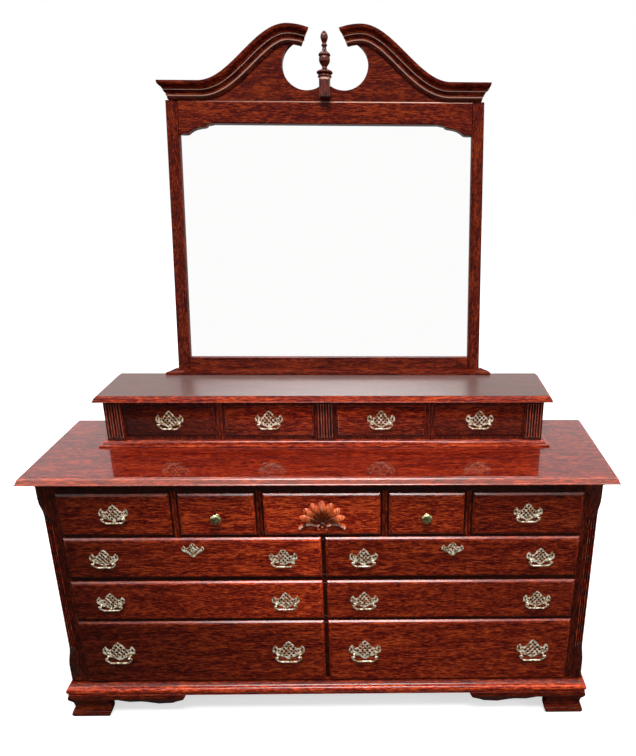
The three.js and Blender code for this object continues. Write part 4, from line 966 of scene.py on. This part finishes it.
def up_the_walls(stops):
    """How bright the walls are at each height of a ray, as (height, brightness)."""
    ramp = node("ShaderNodeValToRGB")
    for i, (height, value) in enumerate(stops):
        # a new ramp has two stops
        stop = ramp.color_ramp.elements[i] if i < 2 else ramp.color_ramp.elements.new(height)
        stop.position = height
        stop.color = (value, value, value, 1)
    return ramp


wall = up_the_walls([(0.0, 1.0), (1.0, 0.3), (0.7, 1.0), (0.92, 0.3)])
window = up_the_walls([(0.71, 0.0), (0.95, 0.0), (0.76, 1.0), (0.872, 1.0), (0.9, 0.2)])
off_middle = node("ShaderNodeMath", [("operation", "ADD")])
off_middle.inputs[1].default_value = 0.06
aside = node("ShaderNodeMath", [("operation", "ABSOLUTE")])
ceiling = node(
    "ShaderNodeMapRange", [("interpolation_type", "SMOOTHSTEP")],
    From_Min=0.05, From_Max=0.24, To_Min=20.0, To_Max=3.0,
)
overhead = node("ShaderNodeMath", [("operation", "MULTIPLY")])
bright = node("ShaderNodeMath", [("operation", "ADD")])
path = node("ShaderNodeLightPath")
walls = node("ShaderNodeBackground", Color=(1, 1, 1, 1))
plain = node("ShaderNodeBackground", Color=(1, 1, 1, 1))
fill = node("ShaderNodeBackground", Color=(1, 1, 1, 1), Strength=0.3)
seen = node("ShaderNodeMixShader")
mirrored = node("ShaderNodeMixShader")
output = node("ShaderNodeOutputWorld")
for source, socket, target, to in (
    (place, "Generated", parts, "Vector"), (parts, "Z", wall, "Fac"), (parts, "Z", window, "Fac"),
    (parts, "X", off_middle, 0), (off_middle, "Value", aside, 0), (aside, "Value", ceiling, "Value"),
    (ceiling, "Result", overhead, 0), (window, "Color", overhead, 1),
    (wall, "Color", bright, 0), (overhead, "Value", bright, 1), (bright, "Value", walls, "Strength"),
    (path, "Is Glossy Ray", mirrored, "Fac"), (fill, "Background", mirrored, 1),
    (walls, "Background", mirrored, 2),
    (path, "Is Camera Ray", seen, "Fac"), (mirrored, "Shader", seen, 1), (plain, "Background", seen, 2),
    (seen, "Shader", output, "Surface"),
):
    link(source, socket, target, to)

# The studio's lamps: a large softbox high in front and a small one low at the right, which the lacquer
# doesn't mirror.
for name, at, width, height, power in (
    ("softbox_key", (0.2, -2.6, 6.0), 3.0, 2.0, 330), ("softbox_side", (3.0, -1.4, 1.3), 1.0, 1.0, 22),
):
    lamp = bpy.data.lights.new(name, "AREA")
    lamp.shape = "RECTANGLE"
    lamp.size = width
    lamp.size_y = height
    lamp.energy = power
    stand = bpy.data.objects.new(name, lamp)
    stand.location = at
    stand.rotation_euler = (Vector((0, 0, 0.6)) - Vector(at)).to_track_quat("-Z", "Y").to_euler()
    stand.visible_glossy = False
    bpy.context.scene.collection.objects.link(stand)

# The camera stands where a fit to the photograph put it. It looks down by the pitch and to the right by the
# yaw, with its lens shifted.
pitch, yaw, roll = math.radians(21.02), math.radians(1.20), math.radians(-0.38)
ahead = Vector((math.sin(yaw) * math.cos(pitch), math.cos(yaw) * math.cos(pitch), -math.sin(pitch)))
across = Vector((math.cos(yaw), -math.sin(yaw), 0))
down = ahead.cross(across)
x_axis = math.cos(roll) * across + math.sin(roll) * down
y_axis = -(math.cos(roll) * down - math.sin(roll) * across)
lens = bpy.data.cameras.new("camera")
lens.sensor_width = 36
lens.lens = 34.545
lens.shift_x = -0.1081
lens.shift_y = 0.0411
camera = bpy.data.objects.new("camera", lens)
camera.matrix_world = Matrix.Translation((0.18571, -2.17602, 1.78912)) @ Matrix(
    (x_axis, y_axis, -ahead)
).transposed().to_4x4()
bpy.context.scene.collection.objects.link(camera)
bpy.context.scene.camera = camera
bpy.context.scene.view_settings.view_transform = "Standard"
